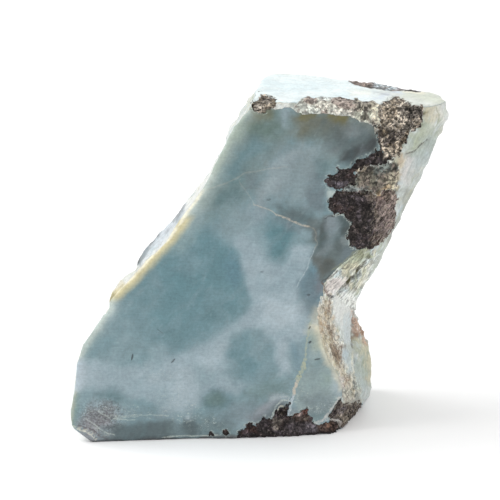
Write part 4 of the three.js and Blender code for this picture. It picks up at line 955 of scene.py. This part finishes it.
# Corrections to the stone's form, in mm. Spans are from and to, ovals are x, z, half width
# and half height.
form = {
    "fromCuts": 0.7,  # the broken sides are smoothed from here on
    "fromBase": 0.6,
    "smoothRounds": 3,
    "leftLimit": 4.0,  # most that the left side is drawn in
    "leftHeight": 45.2,
    "leftLean": 0.01,
    "sliceStep": 0.4,
    "rightGap": 0.1,
    "rightReach": (-5, -0.5),
    "rightTop": (58.5, 61),
    "crustOut": 1.6,
    "crustPlace": 53.0,
    "crustWidth": 4.5,
    "crustDepth": (10, 14),
    "crustHeight": (50, 56),
    "toeOut": (0.4, 0.6),  # all along, and more of it on the right
    "toeRight": (20, 28),
    "toeHeight": (0.3, 3.6),
    "toeDepth": (1, 5),
    "frontDepth": 2.2,
    "filledHole": (37.5, 4.3, 2.1, 2.6),
    "dent": (35.6, 4.4, 1.3, 1.6),
    "dentDepth": 0.8,
}


def inOval(places, oval):  # 1 in the middle, 0 on the edge
    x, z, halfWidth, halfHeight = oval
    return 1 - np.hypot((places[:, 0] - x) / halfWidth, (places[:, 2] - z) / halfHeight)


co, normals, places = readMesh(stone)
x, y, z = places.T
gap = form["fromCuts"]
offCuts = (y > gap) & (y < slab["thickness"] - gap) & (z > form["fromBase"]) & (z < topAt(x) - gap)
selectVertices(stone, offCuts & (normals[:, 1] > -0.97))
for _ in range(form["smoothRounds"]):
    bpy.ops.mesh.vertices_smooth(factor=0.5, repeat=3)
bpy.ops.object.mode_set(mode="OBJECT")

# The left side falls away behind the front edge, with two lumps standing past it.
co, normals, places = readMesh(stone)
x, y, z = places.T
across, up = layerPlaces(places).T
over = edgeAt(leftOutline, up) + form["leftLean"] * y - across
onSide = (up < form["leftHeight"]) & (x < slab["parting"])
co[:, 0] += np.where(onSide, np.clip(over, 0, form["leftLimit"]), 0) / 1000
# The right side is drawn out or in to its outline.
heights = np.arange(0.2, 62, form["sliceStep"])
reached = np.array([across[np.abs(up - h) < 0.25].max() for h in heights])
standing = np.interp(up, heights, reached)
pull = edgeAt(rightOutline, up) + form["rightGap"] - standing
pull *= fade(across - standing, *form["rightReach"])
co[:, 0] += pull * fade(up, -0.2, 0.3) * (1 - fade(up, *form["rightTop"])) / 1000
# The crust stands out at the back of the top.
swell = fade(y, *form["crustDepth"]) * fade(z, *form["crustHeight"])
swell *= np.exp(-(((x - form["crustPlace"]) / form["crustWidth"]) ** 2))
co[:, 1] += form["crustOut"] * swell / 1000
# The foot of the front face stands a little forward.
toe = form["toeOut"][0] + form["toeOut"][1] * fade(x, *form["toeRight"])
toe *= 1 - fade(z, *form["toeHeight"])
toe *= 1 - fade(y, *form["toeDepth"])
co[:, 1] -= toe / 1000
# The dent at the foot of the vein sits in the dark stone, so the hole beside it is filled.
atFront = y < form["frontDepth"]
co[:, 1] -= fade(inOval(places, form["filledHole"]), 0.0, 0.2) * atFront * np.maximum(y, 0) / 1000
co[:, 1] += form["dentDepth"] * fade(inOval(places, form["dent"]), 0.0, 0.7) * atFront / 1000
moveVertices(stone, co)

# The grainy and crumbled parts get a finer mesh.
co, normals, places = readMesh(stone)
zones = measureZones(places, normals)
roughNames = ("hostRock", "crumb", "pocket", "topCrust", "folds", "rust", "bulge")
roughest = np.maximum.reduce([zones[name] for name in roughNames])
selectVertices(stone, ((zones["broken"] > 0.4) & (roughest > -0.3)) | (zones["hostRock"] > -0.2))
bpy.ops.mesh.select_mode(type="FACE")
bpy.ops.mesh.subdivide(number_cuts=1, smoothness=0)
bpy.ops.object.mode_set(mode="OBJECT")
print("stone refined:", len(stone.data.vertices))

# Depths in mm of each kind of roughness.
relief = {
    "lumps": 0.3,
    "fibres": 0.2,
    "grains": 0.42,
    "smallGrains": 0.2,
    "crumbs": 0.55,
    "foldRidges": 0.5,
    "rustCrust": 0.4,
    "sawnRock": 0.12,
    "edgeChips": 0.4,
    "hollows": 0.9,
}

co, normals, places = readMesh(stone)
x, y, z = places.T
zones = measureZones(places, normals)
tints = paintZones(places, zones)
broken = zones["broken"]
rockArea = fade(zones["hostRock"], -0.15, 0.15)
roughRock = rockArea * np.maximum(np.maximum(broken, zones["grainy"]), 0.4)
crumbArea = fade(np.maximum(zones["crumb"], zones["pocket"]), -0.3, 0.3)
crumbArea = np.maximum(crumbArea, 0.3 * fade(zones["topCrust"], -0.3, 0.3))
rustArea = fade(np.maximum(zones["rust"], zones["bulge"]), -0.3, 0.3)
foldArea = fade(zones["folds"], -0.4, 0.4)
plain = broken * (1 - rockArea) * (1 - crumbArea)
smooth = onLeft(places)  # the left side is smoother than the flank
push = relief["lumps"] * plain * clouds(places, 1.9) * np.where(smooth, 0.5, 1.0)
push += relief["fibres"] * plain * np.where(smooth, 0.25, 1.0) * fibres(places, (0.46, 0.1, 0.88), 6.0, 0.75)
rockGrains = relief["grains"] * (grains(driftedPlaces(places, 0.4, 0.9), 0.9) - 0.5)
rockLumps = relief["lumps"] * clouds(places, 1.7, 3, 8.1)
push += roughRock * (rockGrains + rockLumps + relief["smallGrains"] * clouds(places, 0.5, 2, 3.3))
crumbs = relief["crumbs"] * (grains(places, 1.3, 2.2) - 0.4)
push += broken * crumbArea * (crumbs + relief["smallGrains"] * clouds(places, 0.55, 2, 1.1))
push += broken * rustArea * relief["rustCrust"] * clouds(places, 0.8, 3, 6.4)
push += broken * foldArea * relief["foldRidges"] * fibres(places, (0.72, 0.1, 0.68), 5.0, 1.3, 2, 2.7)
sawnPits = 0.6 + 0.6 * np.clip(clouds(places, 0.8, 3, 1.9), -1, 1)
push -= (1 - broken) * rockArea * relief["sawnRock"] * sawnPits
# small chips along the saw cuts' edges
frontEdge = 1 - fade(y, 0.0, 0.8)
baseEdge = 1 - fade(z, 0.0, 0.9)
leftCut = 1 - fade(np.abs(x - edgeAt(leftEdge, z)), 0.0, 0.8)
chips = np.clip(0.5 + 0.7 * clouds(places, 1.8, 4, 4.6), 0, 1.2)
push -= relief["edgeChips"] * chips * frontEdge * np.maximum(0.25 * baseEdge, 0.4 * leftCut)
# the sides that don't face the front are broken more deeply
hollows = np.clip(clouds(places, 4.6, 3, 12.4) + 0.3, 0, 1)
away = np.clip(fade(normals[:, 1], 0.0, 0.3) + smooth * fade(y, 4, 8), 0, 1)
push -= relief["hollows"] * plain * hollows * away
push -= zones["lineDepth"] * (1 - fade(zones["lineReach"], 0.0, 0.35))
co += normals * push[:, None] / 1000
co[:, 2] = np.maximum(co[:, 2], 0)
moveVertices(stone, co)

for name, values in tints.items():
    layer = stone.data.attributes.new(name, "FLOAT_COLOR", "POINT")
    layer.data.foreach_set("color", np.c_[values, np.ones(len(values))].astype(np.float32).ravel())
kept = ("topFace", "grainy", "clump", "broken", *roughNames, "streaky", "frosted", "speckled")
for name in kept + ("lineSide", "lineWidth", "lineStrength", "lineReach"):
    layer = stone.data.attributes.new(name, "FLOAT", "POINT")
    layer.data.foreach_set("value", zones[name].astype(np.float32))

pick(stone)
bpy.ops.object.shade_smooth()
print("stone roughened:", sum(len(p.vertices) - 2 for p in stone.data.polygons), "triangles")

gloss = {
    "sawn": 0.44,  # roughness of each kind of surface
    "broken": 0.7,
    "rock": 0.8,
    "variation": 0.3,
    "specular": 0.4,
    "rockLoss": 0.26,  # how much less specular the rock is
    "subsurface": 0.08,
    "glowRadius": (0.8, 1.0, 1.1),
    "glowScale": 0.0008,
    "sawLines": 0.008,  # heights in mm
    "fineGrain": 0.014,
    "brokenGrain": 0.3,
    "pitDepth": 0.15,
}

finish = bpy.data.materials.new("larimar_stone_finish")
finish.use_nodes = True
tree = finish.node_tree
tree.nodes.clear()


class Wired:  # a node's output, which can be added to, taken from and multiplied
    def __init__(self, socket):
        self.socket = socket

    def __add__(self, other):
        return calc("ADD", self, other)

    def __sub__(self, other):
        return calc("SUBTRACT", self, other)

    def __rsub__(self, other):
        return calc("SUBTRACT", other, self)

    def __mul__(self, other):
        return calc("MULTIPLY", self, other)


def wire(value, socket):
    if isinstance(value, Wired):
        tree.links.new(value.socket, socket)
    else:
        socket.default_value = value


def made(kind, inputs, output=0, **settings):
    node = tree.nodes.new("ShaderNode" + kind)
    for key, value in settings.items():
        setattr(node, key, value)
    for key, value in inputs.items():
        wire(value, node.inputs[key])
    return Wired(node.outputs[output])


def calc(operation, *values):
    return made("Math", dict(enumerate(values)), operation=operation)


def most(one, other):
    return calc("MAXIMUM", one, other)


def mix(amount, first, second, blend="MIX"):
    second = linear(second) if isinstance(second, str) else second
    return made("Mix", {0: amount, 6: first, 7: second}, 2, data_type="RGBA", blend_type=blend)


def between(amount, first, second):
    return made("Mix", {0: amount, 2: first, 3: second}, data_type="FLOAT")


def ramp(value, low, high, start=0.0, end=1.0):
    inputs = {0: value, 1: low, 2: high, 3: start, 4: end}
    return made("MapRange", inputs, interpolation_type="SMOOTHSTEP")


def cloudy(where, size, detail, rough, warp=0.0):
    inputs = {"Vector": where, "Scale": 1 / size, "Detail": detail, "Roughness": rough, "Distortion": warp}
    return made("TexNoise", inputs)


def field(name, output="Fac"):
    return made("Attribute", {}, output, attribute_name=name)


def placed(where, turn=0, scale=(1, 1, 1), at=(0, 0, 0)):  # turned about y, in degrees
    inputs = {"Vector": where, "Location": at, "Rotation": (0, math.radians(turn), 0), "Scale": scale}
    return made("Mapping", inputs, vector_type="TEXTURE")


def drawnOut(where, turn, width, length, detail, rough, warp=0.0):  # clouds drawn out one way
    return cloudy(placed(where, turn, (width, width, length)), 1.0, detail, rough, warp)


def edged(distance, noiseValue, wobble, soft):  # crisp but ragged edge of a signed distance
    return ramp((noiseValue - 0.5) * wobble + distance, -soft, soft)


def shaded(colour, grey):
    return mix(1.0, colour, made("CombineColor", {0: grey, 1: grey, 2: grey}), "MULTIPLY")


def toned(colour, value, dark, light, low=0.3, high=0.7):
    return shaded(colour, ramp(value, low, high, dark, light))


def opened(colour, tone, spread, limit):  # darks and lights opened out around a colour
    return shaded(colour, calc("MINIMUM", calc("POWER", spread, tone), limit))


def speckle(where, size, at=(0, 0, 0)):  # light and dark grains around 0
    spot = placed(where, at=at)
    push = made("TexNoise", {"Vector": spot, "Scale": 1 / (size * 1.7), "Detail": 2.0}, "Color")
    push = made("VectorMath", {0: push, 1: (0.5, 0.5, 0.5)}, operation="SUBTRACT")
    moved = made("VectorMath", {0: push, 1: (size * 1.6,) * 3, 2: spot}, operation="MULTIPLY_ADD")
    grain = made("SeparateColor", {0: made("TexVoronoi", {"Vector": moved, "Scale": 1 / size}, "Color")})
    return (grain - 0.5) * 0.6 + (cloudy(spot, size * 2.6, 5, 0.78) - 0.5) * 1.7


def grit(where, colour, size, name, amount, low, high, at):  # ragged crumbs of one colour
    return mix(ramp(cloudy(placed(where, at=at), size, 4, 0.82, 0.25), low, high) * amount, colour, name)


def sawnColour(where):
    colour = field("faceTint", "Color")
    quiet = 1.0 - field("topFace") * 0.7  # the top face is plainer
    wisps = cloudy(placed(where, -52, (3.0, 2.0, 1.3)), 1.0, 5, 0.6, 0.8)
    colour = mix(ramp(wisps, 0.54, 0.78, 0, 0.13) * quiet, colour, "bright")
    colour = mix(ramp(wisps, 0.46, 0.22, 0, 0.13) * quiet, colour, "deep")
    sawn = cloudy(placed(where, 4, (2.4, 2.0, 0.24)), 1.0, 4, 0.7, 0.3)
    colour = toned(colour, sawn, 0.95, 1.045, 0.32, 0.68)
    colour = toned(colour, cloudy(where, 2.6, 6, 0.62, 0.5), 0.91, 1.07)
    colour = toned(colour, cloudy(where, 0.5, 5, 0.76), 0.88, 1.09)
    colour = mix(ramp(cloudy(where, 0.26, 2, 0.6), 0.62, 0.76, 0, 0.22) * quiet, colour, "pit")
    # mauve and dark specks in the lower corner, with pale frosting over them
    speckled = field("speckled")
    mauve = ramp(cloudy(where, 1.3, 6, 0.8, 0.2), 0.4, 0.62, 0, 0.3)
    colour = mix(mauve * speckled, colour, "lilacDark")
    colour = opened(colour, speckle(where, 0.26) * speckled, 3.5, 1.6)
    frost = ramp(cloudy(placed(where, scale=(1.8, 1, 1)), 0.3, 5, 0.85, 0.3), 0.53, 0.62)
    frost = frost * ramp(cloudy(where, 2.2, 3, 0.6), 0.4, 0.6, 0.15, 1.0) * field("frosted")
    return mix(frost * 0.6, colour, "rimPale")


def rindColour(where):
    colour = field("rindTint", "Color")
    crusty = ramp(most(field("rust"), field("bulge") - 0.4), -0.4, 0.3)
    torn = ramp(most(most(field("crumb"), field("pocket")), field("topCrust")), -0.2, 0.2)
    folded = ramp(field("folds"), -0.3, 0.3)
    colour = toned(colour, drawnOut(where, 24, 0.45, 2.6, 5, 0.68, 0.8), 0.82, 1.07, 0.32, 0.68)
    colour = toned(colour, cloudy(where, 0.4, 4, 0.7), 0.87, 1.07)
    streak = drawnOut(where, 28, 0.6, 3.6, 5, 0.7, 1.0)
    colour = mix(ramp(streak, 0.58, 0.68, 0, 0.45), colour, "rindOlive")
    colour = mix(ramp(streak, 0.4, 0.3, 0, 0.5), colour, "rindWhite")
    colour = mix(ramp(cloudy(where, 0.3, 3, 0.65), 0.6, 0.72) * 0.35, colour, "oliveGrey")
    # tan crust broken up by brown crumbs and white flecks
    grain = placed(where, -16, (0.6, 0.6, 1.9))
    colour = grit(grain, colour, 1.3, "brown", crusty * 0.3, 0.45, 0.38, (0, 0, 0))
    colour = grit(grain, colour, 1.6, "crumbWhite", crusty * 0.7, 0.48, 0.58, (7, 3, 1))
    colour = opened(colour, speckle(grain, 0.34, (2, 5, 3)) * crusty, 4.0, 1.3)
    # crumbs along the top edge and in the pocket
    colour = grit(where, colour, 1.5, "clumpBrown", torn * 0.55, 0.47, 0.42, (1, 1, 7))
    spread = ramp(field("clump"), -0.3, 0.3) * 30 + 10
    colour = opened(colour, (speckle(where, 0.44, (3, 9, 1)) - 0.03) * torn, spread, 1.9)
    # dark strokes in the folds
    strokes = placed(where, 40, (0.45, 0.45, 1.8))
    colour = grit(strokes, colour, 1.4, "oliveGrey", folded * 0.3, 0.47, 0.39, (2, 2, 2))
    return opened(colour, (speckle(strokes, 0.5, (7, 5, 3)) + 0.03) * folded, 6.0, 1.35)


def rockColour(where):
    colour = field("rockTint", "Color")
    grainy, streaky = field("grainy"), field("streaky")
    # mauve and lilac dust on the sawn rock, olive and tan patches in the grainy rock
    sawn = 1.0 - grainy
    colour = grit(where, colour, 1.2, "rockMauve", sawn * 0.3, 0.56, 0.66, (6, 2, 2))
    colour = grit(where, colour, 1.8, "rockLilac", sawn * 0.35, 0.5, 0.6, (1, 7, 5))
    colour = grit(where, colour, 2.4, "rockOlive", grainy * 0.6, 0.5, 0.56, (2, 8, 4))
    colour = grit(where, colour, 1.6, "rockTan", grainy * 0.45, 0.52, 0.58, (3, 6, 7))
    # scratches drawn out one way, grains elsewhere
    scratches = (drawnOut(where, 42, 0.5, 2.0, 5, 0.8, 0.4) - 0.48) * 3.4
    tone = between(streaky * 0.75, speckle(where, 0.35), scratches)
    colour = opened(colour, tone, most(grainy, streaky) * 50 + 14, 4.2)
    scratch = placed(where, 38, (0.32, 0.32, 2.2))
    colour = grit(scratch, colour, 1.0, "rockTan", streaky * 0.7, 0.55, 0.6, (4, 2, 6))
    return grit(where, colour, 0.3, "rockTan", grainy * 0.3 + 0.4, 0.6, 0.66, (5, 5, 1))


def pitShades(where):
    shades = 0.0
    for x, z, turn, length, width, strength in pitMarks:
        near = placed(where, -turn, (length, 2.5, width), (x, 0, z))
        size = made("VectorMath", {0: near}, "Value", operation="LENGTH")
        shades = most(ramp(size, 1.15, 0.7, 0, strength), shades)
    return shades


around = made("TexCoord", {}, "Object")
origin = (-lowCorner.x * 1000 + slab["leftEnd"], -lowCorner.y * 1000, 0)
where = made("Mapping", {"Vector": around, "Location": origin, "Scale": (1000,) * 3}, vector_type="POINT")
ragged = cloudy(where, 0.9, 3, 0.6)
raggedFine = cloudy(where, 0.4, 3, 0.65)

brokenEdge = ramp((raggedFine - 0.5) * 0.5 + field("broken"), 0.42, 0.58)
colour = mix(brokenEdge, sawnColour(where), rindColour(where))
pits = pitShades(where) * (1.0 - brokenEdge)
colour = mix(pits, colour, "pit")

width = field("lineWidth") * ramp(ragged, 0.3, 0.7, 0.3, 1.6)
line = ramp(calc("ABSOLUTE", field("lineSide")) - width, 0.1, -0.04)
line = line * ramp(field("lineReach"), 0.36, 0.2) * field("lineStrength")
line = line * ramp(cloudy(where, 0.4, 4, 0.8), 0.4, 0.58, 0.35, 1.0)
colour = mix(line, colour, field("lineTint", "Color"))

hostRock = field("hostRock")
rock = edged(hostRock, (raggedFine - 0.5) * 0.6 + ragged, 1.5, 0.05)
lip = (edged(hostRock + 0.25, raggedFine, 1.3, 0.12) - rock) * ramp(ragged, 0.42, 0.6)
colour = mix(lip * 0.55, colour, "rimPale")
colour = mix(rock, colour, rockColour(where))

roughness = brokenEdge * (gloss["broken"] - gloss["sawn"]) + gloss["sawn"]
roughness = rock * (gloss["rock"] - gloss["broken"]) + roughness
roughness = roughness + (raggedFine - 0.5) * gloss["variation"]

sawLines = cloudy(placed(where, 7, (14, 14, 0.22)), 1.0, 3, 0.6)
smoothBump = sawLines * gloss["sawLines"] + raggedFine * gloss["fineGrain"]
roughBump = cloudy(where, 0.5, 5, 0.72) * gloss["brokenGrain"]
height = between(most(brokenEdge, rock), smoothBump, roughBump) - pits * gloss["pitDepth"]

shader = made("BsdfPrincipled", {
    "Base Color": colour,
    "Roughness": roughness,
    "Normal": made("Bump", {"Strength": 1.0, "Distance": 0.001, "Height": height}),
    "Specular IOR Level": gloss["specular"] - rock * gloss["rockLoss"],
    "Subsurface Weight": gloss["subsurface"],
    "Subsurface Radius": gloss["glowRadius"],
    "Subsurface Scale": gloss["glowScale"],
})
wire(shader, tree.nodes.new("ShaderNodeOutputMaterial").inputs["Surface"])

stone.data.materials.clear()
stone.data.materials.append(finish)
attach(stone, "root")
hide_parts("larimar_slice")
print("stone finished")

studio = {
    "floorSize": 6.0,
    "floorTone": 0.95,
    "floorRoughness": 0.9,
    "floorSpecular": 0.2,
    "skyStrength": 0.85,
    "keyPlace": (-0.5, 0.08, 0.64),
    "keySize": 0.5,
    "keyPower": 3.6,
    "fillPlace": (0.72, -0.34, 0.4),
    "fillSize": 0.6,
    "fillPower": 1.3,
    "lookAt": (30.2, 0.0, 33.5),  # slab mm
    "turn": -5.0,
    "rise": 18.0,
    "distance": 0.4,
    "lens": 172.8,
    "sensor": 36,
    "nearest": 0.01,
}

bpy.ops.object.select_all(action="DESELECT")
bpy.ops.mesh.primitive_plane_add(size=studio["floorSize"], location=(0, 0, 0))
floor = bpy.context.active_object
floor.name = "studio_floor"
floorPaint = bpy.data.materials.new("studio_floor_paint")
floorPaint.use_nodes = True
paint = floorPaint.node_tree.nodes["Principled BSDF"]
paint.inputs["Base Color"].default_value = (studio["floorTone"],) * 3 + (1,)
paint.inputs["Roughness"].default_value = studio["floorRoughness"]
paint.inputs["Specular IOR Level"].default_value = studio["floorSpecular"]
floor.data.materials.append(floorPaint)

# The sky lights the stone a little less than it shows.
world = bpy.data.worlds.new("studio_sky")
bpy.context.scene.world = world
world.use_nodes = True
tree = world.node_tree
tree.nodes.clear()
white = (1, 1, 1, 1)
skyLight = made("Background", {0: white, 1: studio["skyStrength"]})
skySeen = made("Background", {0: white, 1: 1.0})
sky = made("MixShader", {0: made("LightPath", {}, "Is Camera Ray"), 1: skyLight, 2: skySeen})
wire(sky, tree.nodes.new("ShaderNodeOutputWorld").inputs["Surface"])

middle = Vector((0, 0, highCorner.z / 2))
for name in ("key", "fill"):
    bpy.ops.object.light_add(type="AREA", location=studio[name + "Place"])
    light = bpy.context.active_object
    light.name = "studio_" + name
    light.data.size = studio[name + "Size"]
    light.data.energy = studio[name + "Power"]
    light.rotation_euler = (middle - light.location).to_track_quat("-Z", "Y").to_euler()

turn, rise = math.radians(studio["turn"]), math.radians(studio["rise"])
back = Vector((math.sin(turn) * math.cos(rise), -math.cos(turn) * math.cos(rise), math.sin(rise)))
lookX, lookY, lookZ = studio["lookAt"]
target = Vector((lowCorner.x + (lookX - slab["leftEnd"]) / 1000, lowCorner.y + lookY / 1000, lookZ / 1000))
facing = (-back).to_track_quat("-Z", "Y").to_euler()
bpy.ops.object.camera_add(location=target + back * studio["distance"], rotation=facing)
camera = bpy.context.active_object
camera.name = "studio_camera"
camera.data.lens = studio["lens"]
camera.data.sensor_width = studio["sensor"]
camera.data.clip_start = studio["nearest"]
bpy.context.scene.camera = camera
bpy.context.scene.view_settings.view_transform = "Standard"
print("studio set")
